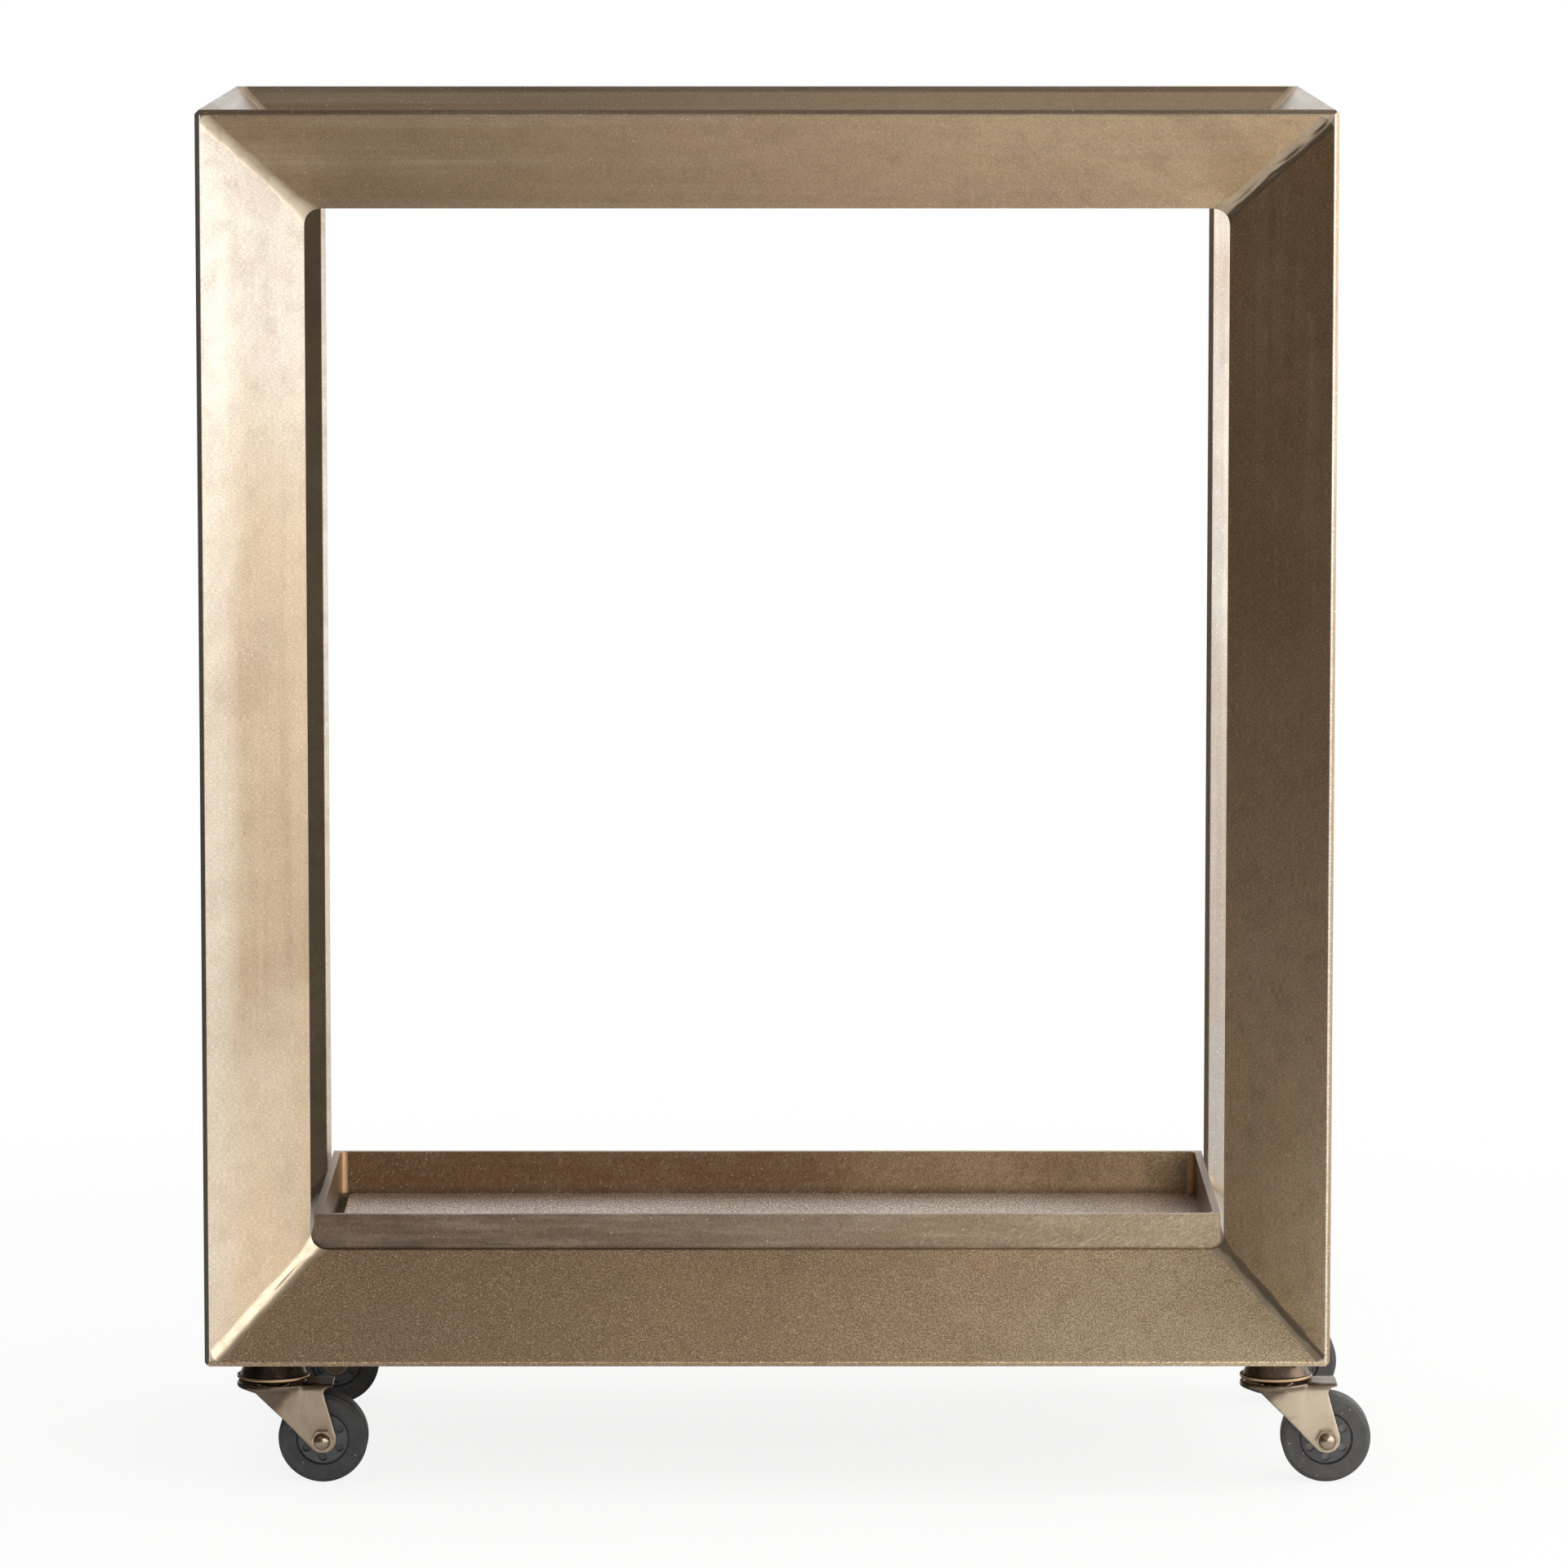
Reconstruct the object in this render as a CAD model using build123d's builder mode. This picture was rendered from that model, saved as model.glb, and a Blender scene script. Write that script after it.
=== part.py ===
from build123d import *
import os
from math import cos, radians, sin, sqrt, tan

# Bar cart: a box frame of twelve sloping steel plates, a shelf, a welded tray and four swivel casters.
# Millimetres, +Z up, front towards -Y. The origin is on the floor under the middle of the frame.

# Frame: each plate joins an edge of the outer box to the matching edge of the inner box at 45 degrees.
frame_length = 750.0
frame_depth = 400.0
frame_height = 836.0
ground_clearance = 88.0
plate_width = 92.0
plate_thickness = 5.0
plate_edge_round = 0.8
weld_leg = 5.5
weld_end_gap = 5.0

# Top shelf: a drop-in panel with bevelled edges that rests on the four sloping top plates.
shelf_thickness = 3.0
seat_lift = 1.0
weld_clearance = 0.5

# Bottom tray: four flat bars round a floor sheet, standing in the bottom opening.
tray_bar_height = 32.0
tray_bar_thickness = 5.0
tray_rise = 23.3
tray_end_clearance = 1.5
tray_side_clearance = 0.4
tray_floor_thickness = 2.5
tray_floor_end_gap = 6.5
tray_floor_corner = 6.0
tray_bar_corner = 4.5
tray_corner_fillet = 5.0
tray_weld_leg = 6.0
tray_weld_root = 1.5
tray_weld_length = 30.0
tray_weld_pitch = 220.0
tray_weld_count = 3

# Caster gussets: flat plates across the four bottom corners.
gusset_thickness = 4.0
gusset_margin = 5.0
gusset_corner_round = 10.0
gusset_rivet_hole = 20.0

# Casters: where they stand and how far the wheels trail. The front pair stands a little to the right.
caster_inset_x = 37.6
front_caster_shift = 5.0
caster_inset_y = 62.0
trail = 33.5

# Caster wheel
wheel_diameter = 60.0
wheel_width = 22.0
tread_width = 16.0
sidewall_diameter = 54.4
shoulder_step = 0.7
hub_seat_diameter = 36.0
hub_seat_width = 15.0
hub_face_diameter = 33.2
hub_face_width = 20.0
hub_boss_diameter = 18.0
hub_pocket_count = 6
hub_pocket_circle = 25.6
hub_pocket_diameter = 5.6
hub_pocket_depth = 4.5
hub_pocket_turn = 30.0
running_clearance = 0.08
side_clearance = 0.3

# Caster axle
axle_diameter = 8.0
axle_head_across_flats = 13.0
axle_head_height = 5.3
axle_thread_length = 8.0
axle_fit_clearance = 0.05
sleeve_wall = 2.0
cap_nut_hex_height = 5.0
cap_nut_dome_radius = 5.8
cap_nut_crown_wall = 2.5

# Caster fork, pressed from sheet
fork_sheet = 2.5
fork_inside = 27.0
leg_end_radius = 9.6
leg_front_slope = 46.0
leg_rear_lean = 16.0
wheel_top_gap = 0.5
bowl_floor_radius = 15.0
bowl_rim_radius = 24.5
bowl_depth = 8.0
bowl_lip = 4.0
hood_gap = 5.8
hood_reach = 41.0
hood_bend = 4.0
hood_flare = 4.5

# Caster swivel head
head_plate_side = 54.0
head_plate_thickness = 2.5
head_plate_corner = 6.0
head_bolt_pitch = 33.0
head_neck_diameter = 34.0
head_disc_diameter = 48.8
head_disc_thickness = 2.0
head_disc_gap = 2.2
head_boss_diameter = 24.0
ball_diameter = 5.0
ball_circle = 18.6
ball_count = 9
race_depth = 0.8
race_clearance = 0.1
kingpin_diameter = 10.0
kingpin_head_diameter = 16.0
kingpin_head_height = 3.0

# Caster bolts
bolt_diameter = 5.0
bolt_hole_clearance = 0.3
bolt_across_flats = 8.0
bolt_flat_turn = 30.0
bolt_head_height = 3.2
bolt_nut_height = 4.0
bolt_thread_end = 1.0

# Levels and distances that follow from the sizes above
edge_drop = plate_thickness / sqrt(2)
plate_inset = plate_width / sqrt(2)
frame_top = ground_clearance + frame_height
frame_middle = Vector(0, 0, ground_clearance + frame_height / 2)
half_frame = (frame_length / 2, frame_depth / 2, frame_height / 2)
line_offset = tuple(half - edge_drop / 2 for half in half_frame)
opening_half_x = frame_length / 2 - plate_inset - edge_drop
opening_half_y = frame_depth / 2 - plate_inset - edge_drop
weld_reach = weld_leg * sqrt(3 / 2)
seat_corner_cut = weld_reach + weld_clearance

head_top = ground_clearance + seat_lift
axle_height = wheel_diameter / 2
bowl_bottom = wheel_diameter + wheel_top_gap
bowl_floor = bowl_bottom + fork_sheet
bowl_rim = bowl_bottom + bowl_depth
hood_bottom = wheel_diameter + hood_gap
hood_top = hood_bottom + fork_sheet
head_disc_bottom = bowl_rim + head_disc_gap
head_boss_bottom = bowl_floor + ball_diameter + 2 * race_clearance - 2 * race_depth
ball_height = bowl_floor - race_depth + race_clearance + ball_diameter / 2
fork_outside = fork_inside + 2 * fork_sheet
sleeve_radius = axle_diameter / 2 + axle_fit_clearance + sleeve_wall

X, Y, Z = range(3)
unit = (Vector(1, 0, 0), Vector(0, 1, 0), Vector(0, 0, 1))
up = unit[Z]
trail_direction = unit[X]
axle_direction = trail_direction.cross(up)

# Corners of the cart in plan, as the signs of X and Y
corners = {"front_left": (-1, -1), "front_right": (1, -1), "rear_left": (-1, 1), "rear_right": (1, 1)}

# Frame plates: the axis that each runs along, then the two sides of the box where its outer edge lies
plates = {
    "front_top_rail": (X, (Y, -1), (Z, 1)),
    "front_bottom_rail": (X, (Y, -1), (Z, -1)),
    "rear_top_rail": (X, (Y, 1), (Z, 1)),
    "rear_bottom_rail": (X, (Y, 1), (Z, -1)),
    "left_top_rail": (Y, (X, -1), (Z, 1)),
    "left_bottom_rail": (Y, (X, -1), (Z, -1)),
    "right_top_rail": (Y, (X, 1), (Z, 1)),
    "right_bottom_rail": (Y, (X, 1), (Z, -1)),
    "front_left_post": (Z, (X, -1), (Y, -1)),
    "front_right_post": (Z, (X, 1), (Y, -1)),
    "rear_left_post": (Z, (X, -1), (Y, 1)),
    "rear_right_post": (Z, (X, 1), (Y, 1)),
}

os.makedirs("parts", exist_ok=True)


def save(piece, name):
    """Label a finished piece and write it as its own STEP file."""
    piece.label = name
    export_step(piece, f"parts/{name}.step")


def frame_plate(along, first, second):
    """One sloping plate, mitred at each end against the two plates that it meets there."""
    sides = (first, second)
    edge = frame_middle
    outward = Vector(0, 0, 0)
    for axis, side in sides:
        edge = edge + unit[axis] * (side * line_offset[axis])
        outward = outward + unit[axis] * side
    slope = outward.normalized() * -1
    section = Plane(origin=edge + slope * (plate_width / 2), x_dir=slope, z_dir=unit[along])
    with BuildPart() as plate:
        with BuildSketch(section):
            RectangleRounded(plate_width, plate_thickness, plate_edge_round)
        extrude(amount=half_frame[along], both=True)
        for end in (1, -1):
            corner = edge + unit[along] * (end * line_offset[along])
            for axis, side in sides:
                mitre = Plane(origin=corner, z_dir=unit[axis] * side - unit[along] * end)
                split(bisect_by=mitre, keep=Keep.TOP)
    return plate.part


def weld_plane(signs, facing):
    """Plane across the valley that faces out along one axis at a corner, with x out of the valley."""
    corner = frame_middle
    inward = Vector(0, 0, 0)
    for axis, side in enumerate(signs):
        corner = corner + unit[axis] * (side * line_offset[axis])
        inward = inward - unit[axis] * side
    run = inward.normalized()
    outward = (unit[facing] * signs[facing] + run * (1 / sqrt(3))).normalized()
    root = corner + outward * (plate_thickness / sqrt(3))
    start = edge_drop / 2 / sqrt(3) + weld_end_gap
    return Plane(origin=root + run * start, x_dir=outward, z_dir=run)


def hollow_planes(side_x, side_y, rise):
    """Planes of the two sloping walls and the weld at a corner of the top (rise 1) or bottom (rise -1) hollow."""
    level = frame_middle.Z + rise * frame_height / 2
    wall_x = side_x * (frame_length / 2 - edge_drop)
    wall_y = side_y * (frame_depth / 2 - edge_drop)
    weld_x = wall_x - side_x * seat_corner_cut
    return (
        Plane(origin=(wall_x, 0, level), z_dir=(-side_x, 0, rise)),
        Plane(origin=(0, wall_y, level), z_dir=(0, -side_y, rise)),
        Plane(origin=(weld_x, wall_y, level), z_dir=(-side_x, -side_y, 2 * rise)),
    )


def swivel_plane(corner):
    """Horizontal plane on the floor at a caster's swivel axis, with x along the trail."""
    side_x, side_y = corners[corner]
    shift = front_caster_shift if side_y < 0 else 0
    axis_x = side_x * (frame_length / 2 - caster_inset_x) + shift
    axis_y = side_y * (frame_depth / 2 - caster_inset_y)
    return Plane(origin=(axis_x, axis_y, 0), x_dir=trail_direction, z_dir=up)


def side_plane(corner):
    """Upright plane through a caster's swivel axis, with x along the trail and y up."""
    return Plane(origin=swivel_plane(corner).origin, x_dir=trail_direction, z_dir=axle_direction)


def wheel_plane(corner):
    """Upright plane through a caster's axle line, with x along the axle and y up."""
    centre = swivel_plane(corner).origin + trail_direction * trail + up * axle_height
    return Plane(origin=centre, x_dir=axle_direction, z_dir=axle_direction.cross(up))


def axle_section(corner, along):
    """Plane across a caster's axle at a distance along it from the wheel's middle."""
    centre = wheel_plane(corner).origin
    return Plane(origin=centre + axle_direction * along, x_dir=trail_direction, z_dir=axle_direction)


def radial_plane(corner):
    """Upright plane through a caster's swivel axis, for turned pieces: x is the radius and y the height."""
    return Plane(origin=swivel_plane(corner).origin, x_dir=unit[X], z_dir=unit[Y] * -1)


def head_plane(corner, height):
    """Horizontal plane at a height over a caster's swivel axis, square to the cart."""
    return Plane(origin=swivel_plane(corner).origin + up * height, x_dir=unit[X], z_dir=up)


# Frame plates
for name, (along, first, second) in plates.items():
    save(frame_plate(along, first, second), name)

# Fillet welds in the three valleys at each of the frame's eight corners
weld_run = plate_inset * sqrt(3) - 2 * weld_end_gap
with BuildPart() as corner_welds:
    for side_x, side_y in corners.values():
        for side_z in (1, -1):
            for facing in (X, Y, Z):
                with BuildSketch(weld_plane((side_x, side_y, side_z), facing)):
                    toe_x = weld_leg / 2
                    toe_y = weld_leg * sqrt(3) / 2
                    Polygon((0, 0), (toe_x, -toe_y), (toe_x, toe_y), align=None)
                extrude(amount=weld_run)
save(corner_welds.part, "corner_welds")

# Top shelf, wedged between the sloping plates with its corners cut clear of the welds
shelf_bottom = frame_top - plate_inset + seat_lift
with BuildPart() as top_shelf:
    with BuildSketch(Plane.XY.offset(shelf_bottom)):
        Rectangle(frame_length, frame_depth)
    extrude(amount=shelf_thickness)
    for side_x, side_y in corners.values():
        for wall in hollow_planes(side_x, side_y, 1):
            split(bisect_by=wall, keep=Keep.TOP)
save(top_shelf.part, "top_shelf")

# Tray bars: the long bars run the full length and the short bars fit between them
tray_top = ground_clearance + plate_inset + edge_drop + tray_rise
tray_bottom = tray_top - tray_bar_height
tray_length = 2 * (opening_half_x - tray_end_clearance)
tray_depth = 2 * (opening_half_y - tray_side_clearance)
tray_inner_length = tray_length - 2 * tray_bar_thickness
tray_inner_depth = tray_depth - 2 * tray_bar_thickness
for name, side in (("tray_front_bar", -1), ("tray_rear_bar", 1)):
    with BuildPart() as long_bar:
        with BuildSketch(Plane.XY.offset(tray_bottom)):
            with Locations((0, side * (tray_depth - tray_bar_thickness) / 2)):
                Rectangle(tray_length, tray_bar_thickness)
        extrude(amount=tray_bar_height)
        lower_corners = long_bar.edges().filter_by(Axis.Y).group_by(Axis.Z)[0]
        fillet(lower_corners, tray_bar_corner)
    save(long_bar.part, name)
for name, side in (("tray_left_bar", -1), ("tray_right_bar", 1)):
    with BuildPart() as short_bar:
        with BuildSketch(Plane.XY.offset(tray_bottom)):
            with Locations((side * (tray_length - tray_bar_thickness) / 2, 0)):
                Rectangle(tray_bar_thickness, tray_inner_depth)
        extrude(amount=tray_bar_height)
        lower_edges = short_bar.edges().filter_by(Axis.Y).group_by(Axis.Z)[0].sort_by(Axis.X)
        outer_edge = lower_edges[-1] if side > 0 else lower_edges[0]
        fillet(outer_edge, tray_bar_corner)
    save(short_bar.part, name)

# Tray floor, short of the left bar by a slot
floor_length = tray_inner_length - tray_floor_end_gap
with BuildPart() as tray_floor:
    with BuildSketch(Plane.XY.offset(tray_bottom)):
        with Locations((tray_floor_end_gap / 2, 0)):
            RectangleRounded(floor_length, tray_inner_depth, tray_floor_corner)
    extrude(amount=tray_floor_thickness)
save(tray_floor.part, "tray_floor")

# Stitch welds under the inner edges of the front and rear bottom rails, against the tray's long bars,
# and a hollow fillet weld up each inside corner of the tray
edge_y = opening_half_y
edge_z = ground_clearance + plate_inset
weld_start = tray_weld_root / sqrt(2)
weld_end = tray_weld_leg / sqrt(2)
with BuildPart() as tray_welds:
    for side in (-1, 1):
        for index in range(tray_weld_count):
            middle = (index - (tray_weld_count - 1) / 2) * tray_weld_pitch
            across = Plane(origin=(middle, 0, 0), x_dir=unit[Y] * side, z_dir=unit[X] * side)
            with BuildSketch(across):
                Polygon(
                    (edge_y + weld_start, edge_z - weld_start),
                    (edge_y + weld_end, edge_z - weld_end),
                    (tray_depth / 2, edge_z - weld_end),
                    (tray_depth / 2, edge_z - weld_start),
                    align=None,
                )
            extrude(amount=tray_weld_length / 2, both=True)
    for side_x, side_y in corners.values():
        inner_x = side_x * tray_inner_length / 2
        inner_y = side_y * tray_inner_depth / 2
        toe_x = inner_x - side_x * tray_corner_fillet
        toe_y = inner_y - side_y * tray_corner_fillet
        hollow = tray_corner_fillet / sqrt(2)
        with BuildSketch(Plane.XY.offset(tray_bottom + tray_floor_thickness)):
            with BuildLine():
                Polyline((toe_x, inner_y), (inner_x, inner_y), (inner_x, toe_y))
                ThreePointArc((inner_x, toe_y), (toe_x + side_x * hollow, toe_y + side_y * hollow), (toe_x, inner_y))
            make_face()
        extrude(amount=tray_bar_height - tray_floor_thickness)
save(tray_welds.part, "tray_welds")

# Caster gussets, bevelled to lie against the undersides of the bottom rails
gusset_reach = head_plate_side / 2 + gusset_margin
gusset_depth = caster_inset_y + gusset_reach
for corner, (side_x, side_y) in corners.items():
    gusset_length = frame_length / 2 - side_x * swivel_plane(corner).origin.X + gusset_reach
    with BuildPart() as gusset:
        with BuildSketch(Plane.XY.offset(head_top)):
            with Locations((side_x * (frame_length - gusset_length) / 2, side_y * (frame_depth - gusset_depth) / 2)):
                Rectangle(gusset_length, gusset_depth)
        extrude(amount=gusset_thickness)
        for wall in hollow_planes(side_x, side_y, -1):
            split(bisect_by=wall, keep=Keep.TOP)
        inner_corner = gusset.edges().filter_by(Axis.Z)
        fillet(inner_corner, gusset_corner_round)
        with BuildSketch(head_plane(corner, head_top)):
            Circle(gusset_rivet_hole / 2)
            with GridLocations(head_bolt_pitch, head_bolt_pitch, 2, 2):
                Circle(bolt_diameter / 2 + bolt_hole_clearance)
        extrude(amount=gusset_thickness, mode=Mode.SUBTRACT)
    save(gusset.part, f"{corner}_gusset")

# Caster bolts, heads on the gussets and threads down through the head plates
bolt_head_level = head_top + gusset_thickness
bolt_end_level = head_top - head_plate_thickness - bolt_nut_height - bolt_thread_end
with BuildPart() as caster_bolts:
    for corner in corners:
        with BuildSketch(head_plane(corner, bolt_end_level)):
            with GridLocations(head_bolt_pitch, head_bolt_pitch, 2, 2):
                Circle(bolt_diameter / 2)
        extrude(amount=bolt_head_level - bolt_end_level)
        with BuildSketch(head_plane(corner, bolt_head_level)):
            with GridLocations(head_bolt_pitch, head_bolt_pitch, 2, 2):
                RegularPolygon(bolt_across_flats / 2, 6, major_radius=False, rotation=bolt_flat_turn)
        extrude(amount=bolt_head_height)
save(caster_bolts.part, "caster_bolts")

with BuildPart() as caster_nuts:
    for corner in corners:
        with BuildSketch(head_plane(corner, head_top - head_plate_thickness - bolt_nut_height)):
            with GridLocations(head_bolt_pitch, head_bolt_pitch, 2, 2):
                RegularPolygon(bolt_across_flats / 2, 6, major_radius=False, rotation=bolt_flat_turn)
                Circle(bolt_diameter / 2 + axle_fit_clearance, mode=Mode.SUBTRACT)
        extrude(amount=bolt_nut_height)
save(caster_nuts.part, "caster_nuts")

# Bearing balls of the four swivels
with BuildPart() as swivel_balls:
    for corner in corners:
        with Locations(head_plane(corner, ball_height)):
            with PolarLocations(ball_circle / 2, ball_count):
                Sphere(ball_diameter / 2)
save(swivel_balls.part, "swivel_balls")


def caster_head(corner):
    """Square head plate with a cone that widens to a round lip and the boss that carries the upper ball race."""
    plate_bottom = head_top - head_plate_thickness
    bore = kingpin_diameter / 2 + axle_fit_clearance
    disc_top = head_disc_bottom + head_disc_thickness
    neck = head_neck_diameter / 2
    lip = head_disc_diameter / 2
    with BuildPart() as head:
        with BuildSketch(head_plane(corner, plate_bottom)):
            RectangleRounded(head_plate_side, head_plate_side, head_plate_corner)
            with GridLocations(head_bolt_pitch, head_bolt_pitch, 2, 2):
                Circle(bolt_diameter / 2 + bolt_hole_clearance, mode=Mode.SUBTRACT)
            Circle(bore, mode=Mode.SUBTRACT)
        extrude(amount=head_plate_thickness)
        with BuildSketch(radial_plane(corner)):
            with BuildLine():
                Polyline(
                    (bore, head_boss_bottom),
                    (bore, plate_bottom),
                    (neck, plate_bottom),
                    (lip - head_disc_thickness, disc_top),
                    (lip, disc_top),
                    (lip, head_disc_bottom),
                    (head_boss_diameter / 2, head_disc_bottom),
                    (head_boss_diameter / 2, head_boss_bottom),
                    (bore, head_boss_bottom),
                )
            make_face()
            with Locations((ball_circle / 2, ball_height)):
                Circle(ball_diameter / 2 + race_clearance, mode=Mode.SUBTRACT)
        revolve(axis=Axis(swivel_plane(corner).origin, up))
    return head.part


def caster_kingpin(corner):
    """Rivet that holds the fork to the head plate: shank, upper head and the clenched lower head."""
    lower = bowl_bottom - side_clearance
    with BuildPart() as kingpin:
        with BuildSketch(head_plane(corner, lower - kingpin_head_height)):
            Circle(kingpin_head_diameter / 2)
        extrude(amount=kingpin_head_height)
        with BuildSketch(head_plane(corner, lower)):
            Circle(kingpin_diameter / 2)
        extrude(amount=head_top - lower)
        with BuildSketch(head_plane(corner, head_top)):
            Circle(kingpin_head_diameter / 2)
        extrude(amount=kingpin_head_height)
        heads = kingpin.edges().filter_by(GeomType.CIRCLE).group_by(Axis.Z)
        fillet(heads[0] + heads[-1], kingpin_head_height / 3)
    return kingpin.part


def caster_fork(corner):
    """Pressed fork: a round bowl, a hood over the wheel and two tapered legs with rounded ends."""
    level = swivel_plane(corner)
    outer = fork_outside / 2
    inner = fork_inside / 2
    axle = (trail, axle_height)
    slope = radians(leg_front_slope)
    lean = radians(leg_rear_lean)
    front_foot = (trail - leg_end_radius * sin(slope), axle_height - leg_end_radius * cos(slope))
    rear_foot = (trail + leg_end_radius * cos(lean), axle_height + leg_end_radius * sin(lean))
    front_top = (front_foot[0] - (hood_top - front_foot[1]) / tan(slope), hood_top)
    rear_top = (rear_foot[0] - (hood_bottom - rear_foot[1]) * tan(lean), hood_bottom)
    lip = ((hood_reach, hood_top), (hood_reach, hood_bottom))
    leg_low = axle_height - leg_end_radius
    leg_reach = trail + leg_end_radius
    with BuildPart() as fork:
        with BuildSketch(level.offset(leg_low)):
            Circle(outer)
            with Locations((leg_reach / 2, 0)):
                Rectangle(leg_reach, fork_outside)
            Circle(inner, mode=Mode.SUBTRACT)
            with Locations((leg_reach / 2, 0)):
                Rectangle(leg_reach, fork_inside, mode=Mode.SUBTRACT)
        extrude(amount=hood_top - leg_low)
        with BuildSketch(side_plane(corner)) as side:
            Polygon(front_foot, front_top, *lip, rear_top, rear_foot, axle, align=None)
            fillet(side.vertices().sort_by_distance(rear_top)[0], hood_flare)
            with Locations(axle):
                Circle(leg_end_radius)
        extrude(amount=outer, both=True, mode=Mode.INTERSECT)
        with BuildSketch(level.offset(hood_bottom)):
            Circle(outer)
            with Locations((hood_reach / 2, 0)):
                Rectangle(hood_reach, fork_outside)
        extrude(amount=fork_sheet)
        bends = fork.edges().filter_by(Axis.X).group_by(Axis.Z)[-1]
        fillet(bends, hood_bend)
        with BuildSketch(radial_plane(corner)):
            Polygon(
                (0, bowl_bottom),
                (bowl_floor_radius, bowl_bottom),
                (bowl_rim_radius, bowl_rim - bowl_lip),
                (bowl_rim_radius, bowl_rim),
                (0, bowl_rim),
                align=None,
            )
        revolve(axis=Axis(level.origin, up))
        with BuildSketch(radial_plane(corner)):
            Polygon(
                (0, bowl_floor),
                (bowl_floor_radius - fork_sheet / 2, bowl_floor),
                (bowl_rim_radius - fork_sheet, bowl_rim - bowl_lip / 2),
                (bowl_rim_radius - fork_sheet, bowl_rim),
                (0, bowl_rim),
                align=None,
            )
            Polygon(
                (0, bowl_bottom),
                (kingpin_diameter / 2 + running_clearance, bowl_bottom),
                (kingpin_diameter / 2 + running_clearance, bowl_floor),
                (0, bowl_floor),
                align=None,
            )
            with Locations((ball_circle / 2, ball_height)):
                Circle(ball_diameter / 2 + race_clearance)
        revolve(axis=Axis(level.origin, up), mode=Mode.SUBTRACT)
        with BuildSketch(axle_section(corner, 0)):
            Circle(axle_diameter / 2 + axle_fit_clearance)
        extrude(amount=fork_outside, both=True, mode=Mode.SUBTRACT)
    return fork.part


def caster_axle(corner):
    """Axle bolt with a hexagon head on the far side of the fork."""
    head_face = -fork_outside / 2
    with BuildPart() as axle:
        with BuildSketch(axle_section(corner, head_face - axle_head_height)):
            RegularPolygon(axle_head_across_flats / 2, 6, major_radius=False)
        extrude(amount=axle_head_height)
        with BuildSketch(axle_section(corner, head_face)):
            Circle(axle_diameter / 2)
        extrude(amount=fork_outside + axle_thread_length)
    return axle.part


def caster_cap_nut(corner):
    """Domed cap nut on the near end of the axle."""
    face = fork_outside / 2
    bore = axle_diameter / 2 + axle_fit_clearance
    depth = axle_thread_length + side_clearance
    dome_base = max(cap_nut_hex_height, depth + cap_nut_crown_wall - cap_nut_dome_radius)
    with BuildPart() as nut:
        with BuildSketch(axle_section(corner, face)):
            RegularPolygon(axle_head_across_flats / 2, 6, major_radius=False)
        extrude(amount=cap_nut_hex_height)
        with BuildSketch(wheel_plane(corner)):
            with BuildLine():
                Polyline(
                    (face + dome_base + cap_nut_dome_radius, 0),
                    (face, 0),
                    (face, cap_nut_dome_radius),
                    (face + dome_base, cap_nut_dome_radius),
                )
                RadiusArc(
                    (face + dome_base, cap_nut_dome_radius),
                    (face + dome_base + cap_nut_dome_radius, 0),
                    cap_nut_dome_radius,
                )
            make_face()
        revolve(axis=Axis(wheel_plane(corner).origin, axle_direction))
        with BuildSketch(axle_section(corner, face)):
            Circle(bore)
        extrude(amount=depth, mode=Mode.SUBTRACT)
    return nut.part


def caster_sleeve(corner):
    """Steel tube on the axle, clamped between the fork's legs, on which the wheel turns."""
    with BuildPart() as sleeve:
        with BuildSketch(axle_section(corner, -fork_inside / 2)):
            Circle(sleeve_radius)
            Circle(axle_diameter / 2 + axle_fit_clearance, mode=Mode.SUBTRACT)
        extrude(amount=fork_inside)
    return sleeve.part


def wheel_hub(corner):
    """Moulded hub: a seat for the tyre, two raised faces with pockets and a boss that spaces the legs."""
    bore = sleeve_radius + running_clearance
    seat = hub_seat_diameter / 2
    face = hub_face_diameter / 2
    boss = hub_boss_diameter / 2
    boss_half = fork_inside / 2 - side_clearance
    with BuildPart() as hub:
        with BuildSketch(wheel_plane(corner)):
            Polygon(
                (-boss_half, bore), (boss_half, bore), (boss_half, boss), (hub_face_width / 2, boss),
                (hub_face_width / 2, face), (hub_seat_width / 2, face), (hub_seat_width / 2, seat),
                (-hub_seat_width / 2, seat), (-hub_seat_width / 2, face), (-hub_face_width / 2, face),
                (-hub_face_width / 2, boss), (-boss_half, boss),
                align=None,
            )
        revolve(axis=Axis(wheel_plane(corner).origin, axle_direction))
        for side in (1, -1):
            with BuildSketch(axle_section(corner, side * hub_face_width / 2)):
                with PolarLocations(hub_pocket_circle / 2, hub_pocket_count, start_angle=hub_pocket_turn):
                    Circle(hub_pocket_diameter / 2)
            extrude(amount=-side * hub_pocket_depth, mode=Mode.SUBTRACT)
    return hub.part


def wheel_tyre(corner):
    """Rubber tyre with flat sidewalls, a small step at the shoulder and a rounded tread."""
    seat = hub_seat_diameter / 2
    sidewall = sidewall_diameter / 2
    half = wheel_width / 2
    tread = tread_width / 2
    radius = wheel_diameter / 2
    shoulder = (half - shoulder_step, sidewall + shoulder_step)
    with BuildPart() as tyre:
        with BuildSketch(wheel_plane(corner)):
            with BuildLine():
                Polyline((half, sidewall), (half, seat), (-half, seat), (-half, sidewall))
                Line((half, sidewall), shoulder)
                TangentArc((tread, radius), shoulder, tangent=(1, 0))
                Line((tread, radius), (-tread, radius))
                TangentArc((-tread, radius), (-shoulder[0], shoulder[1]), tangent=(-1, 0))
                Line((-shoulder[0], shoulder[1]), (-half, sidewall))
            make_face()
        revolve(axis=Axis(wheel_plane(corner).origin, axle_direction))
    return tyre.part


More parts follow.
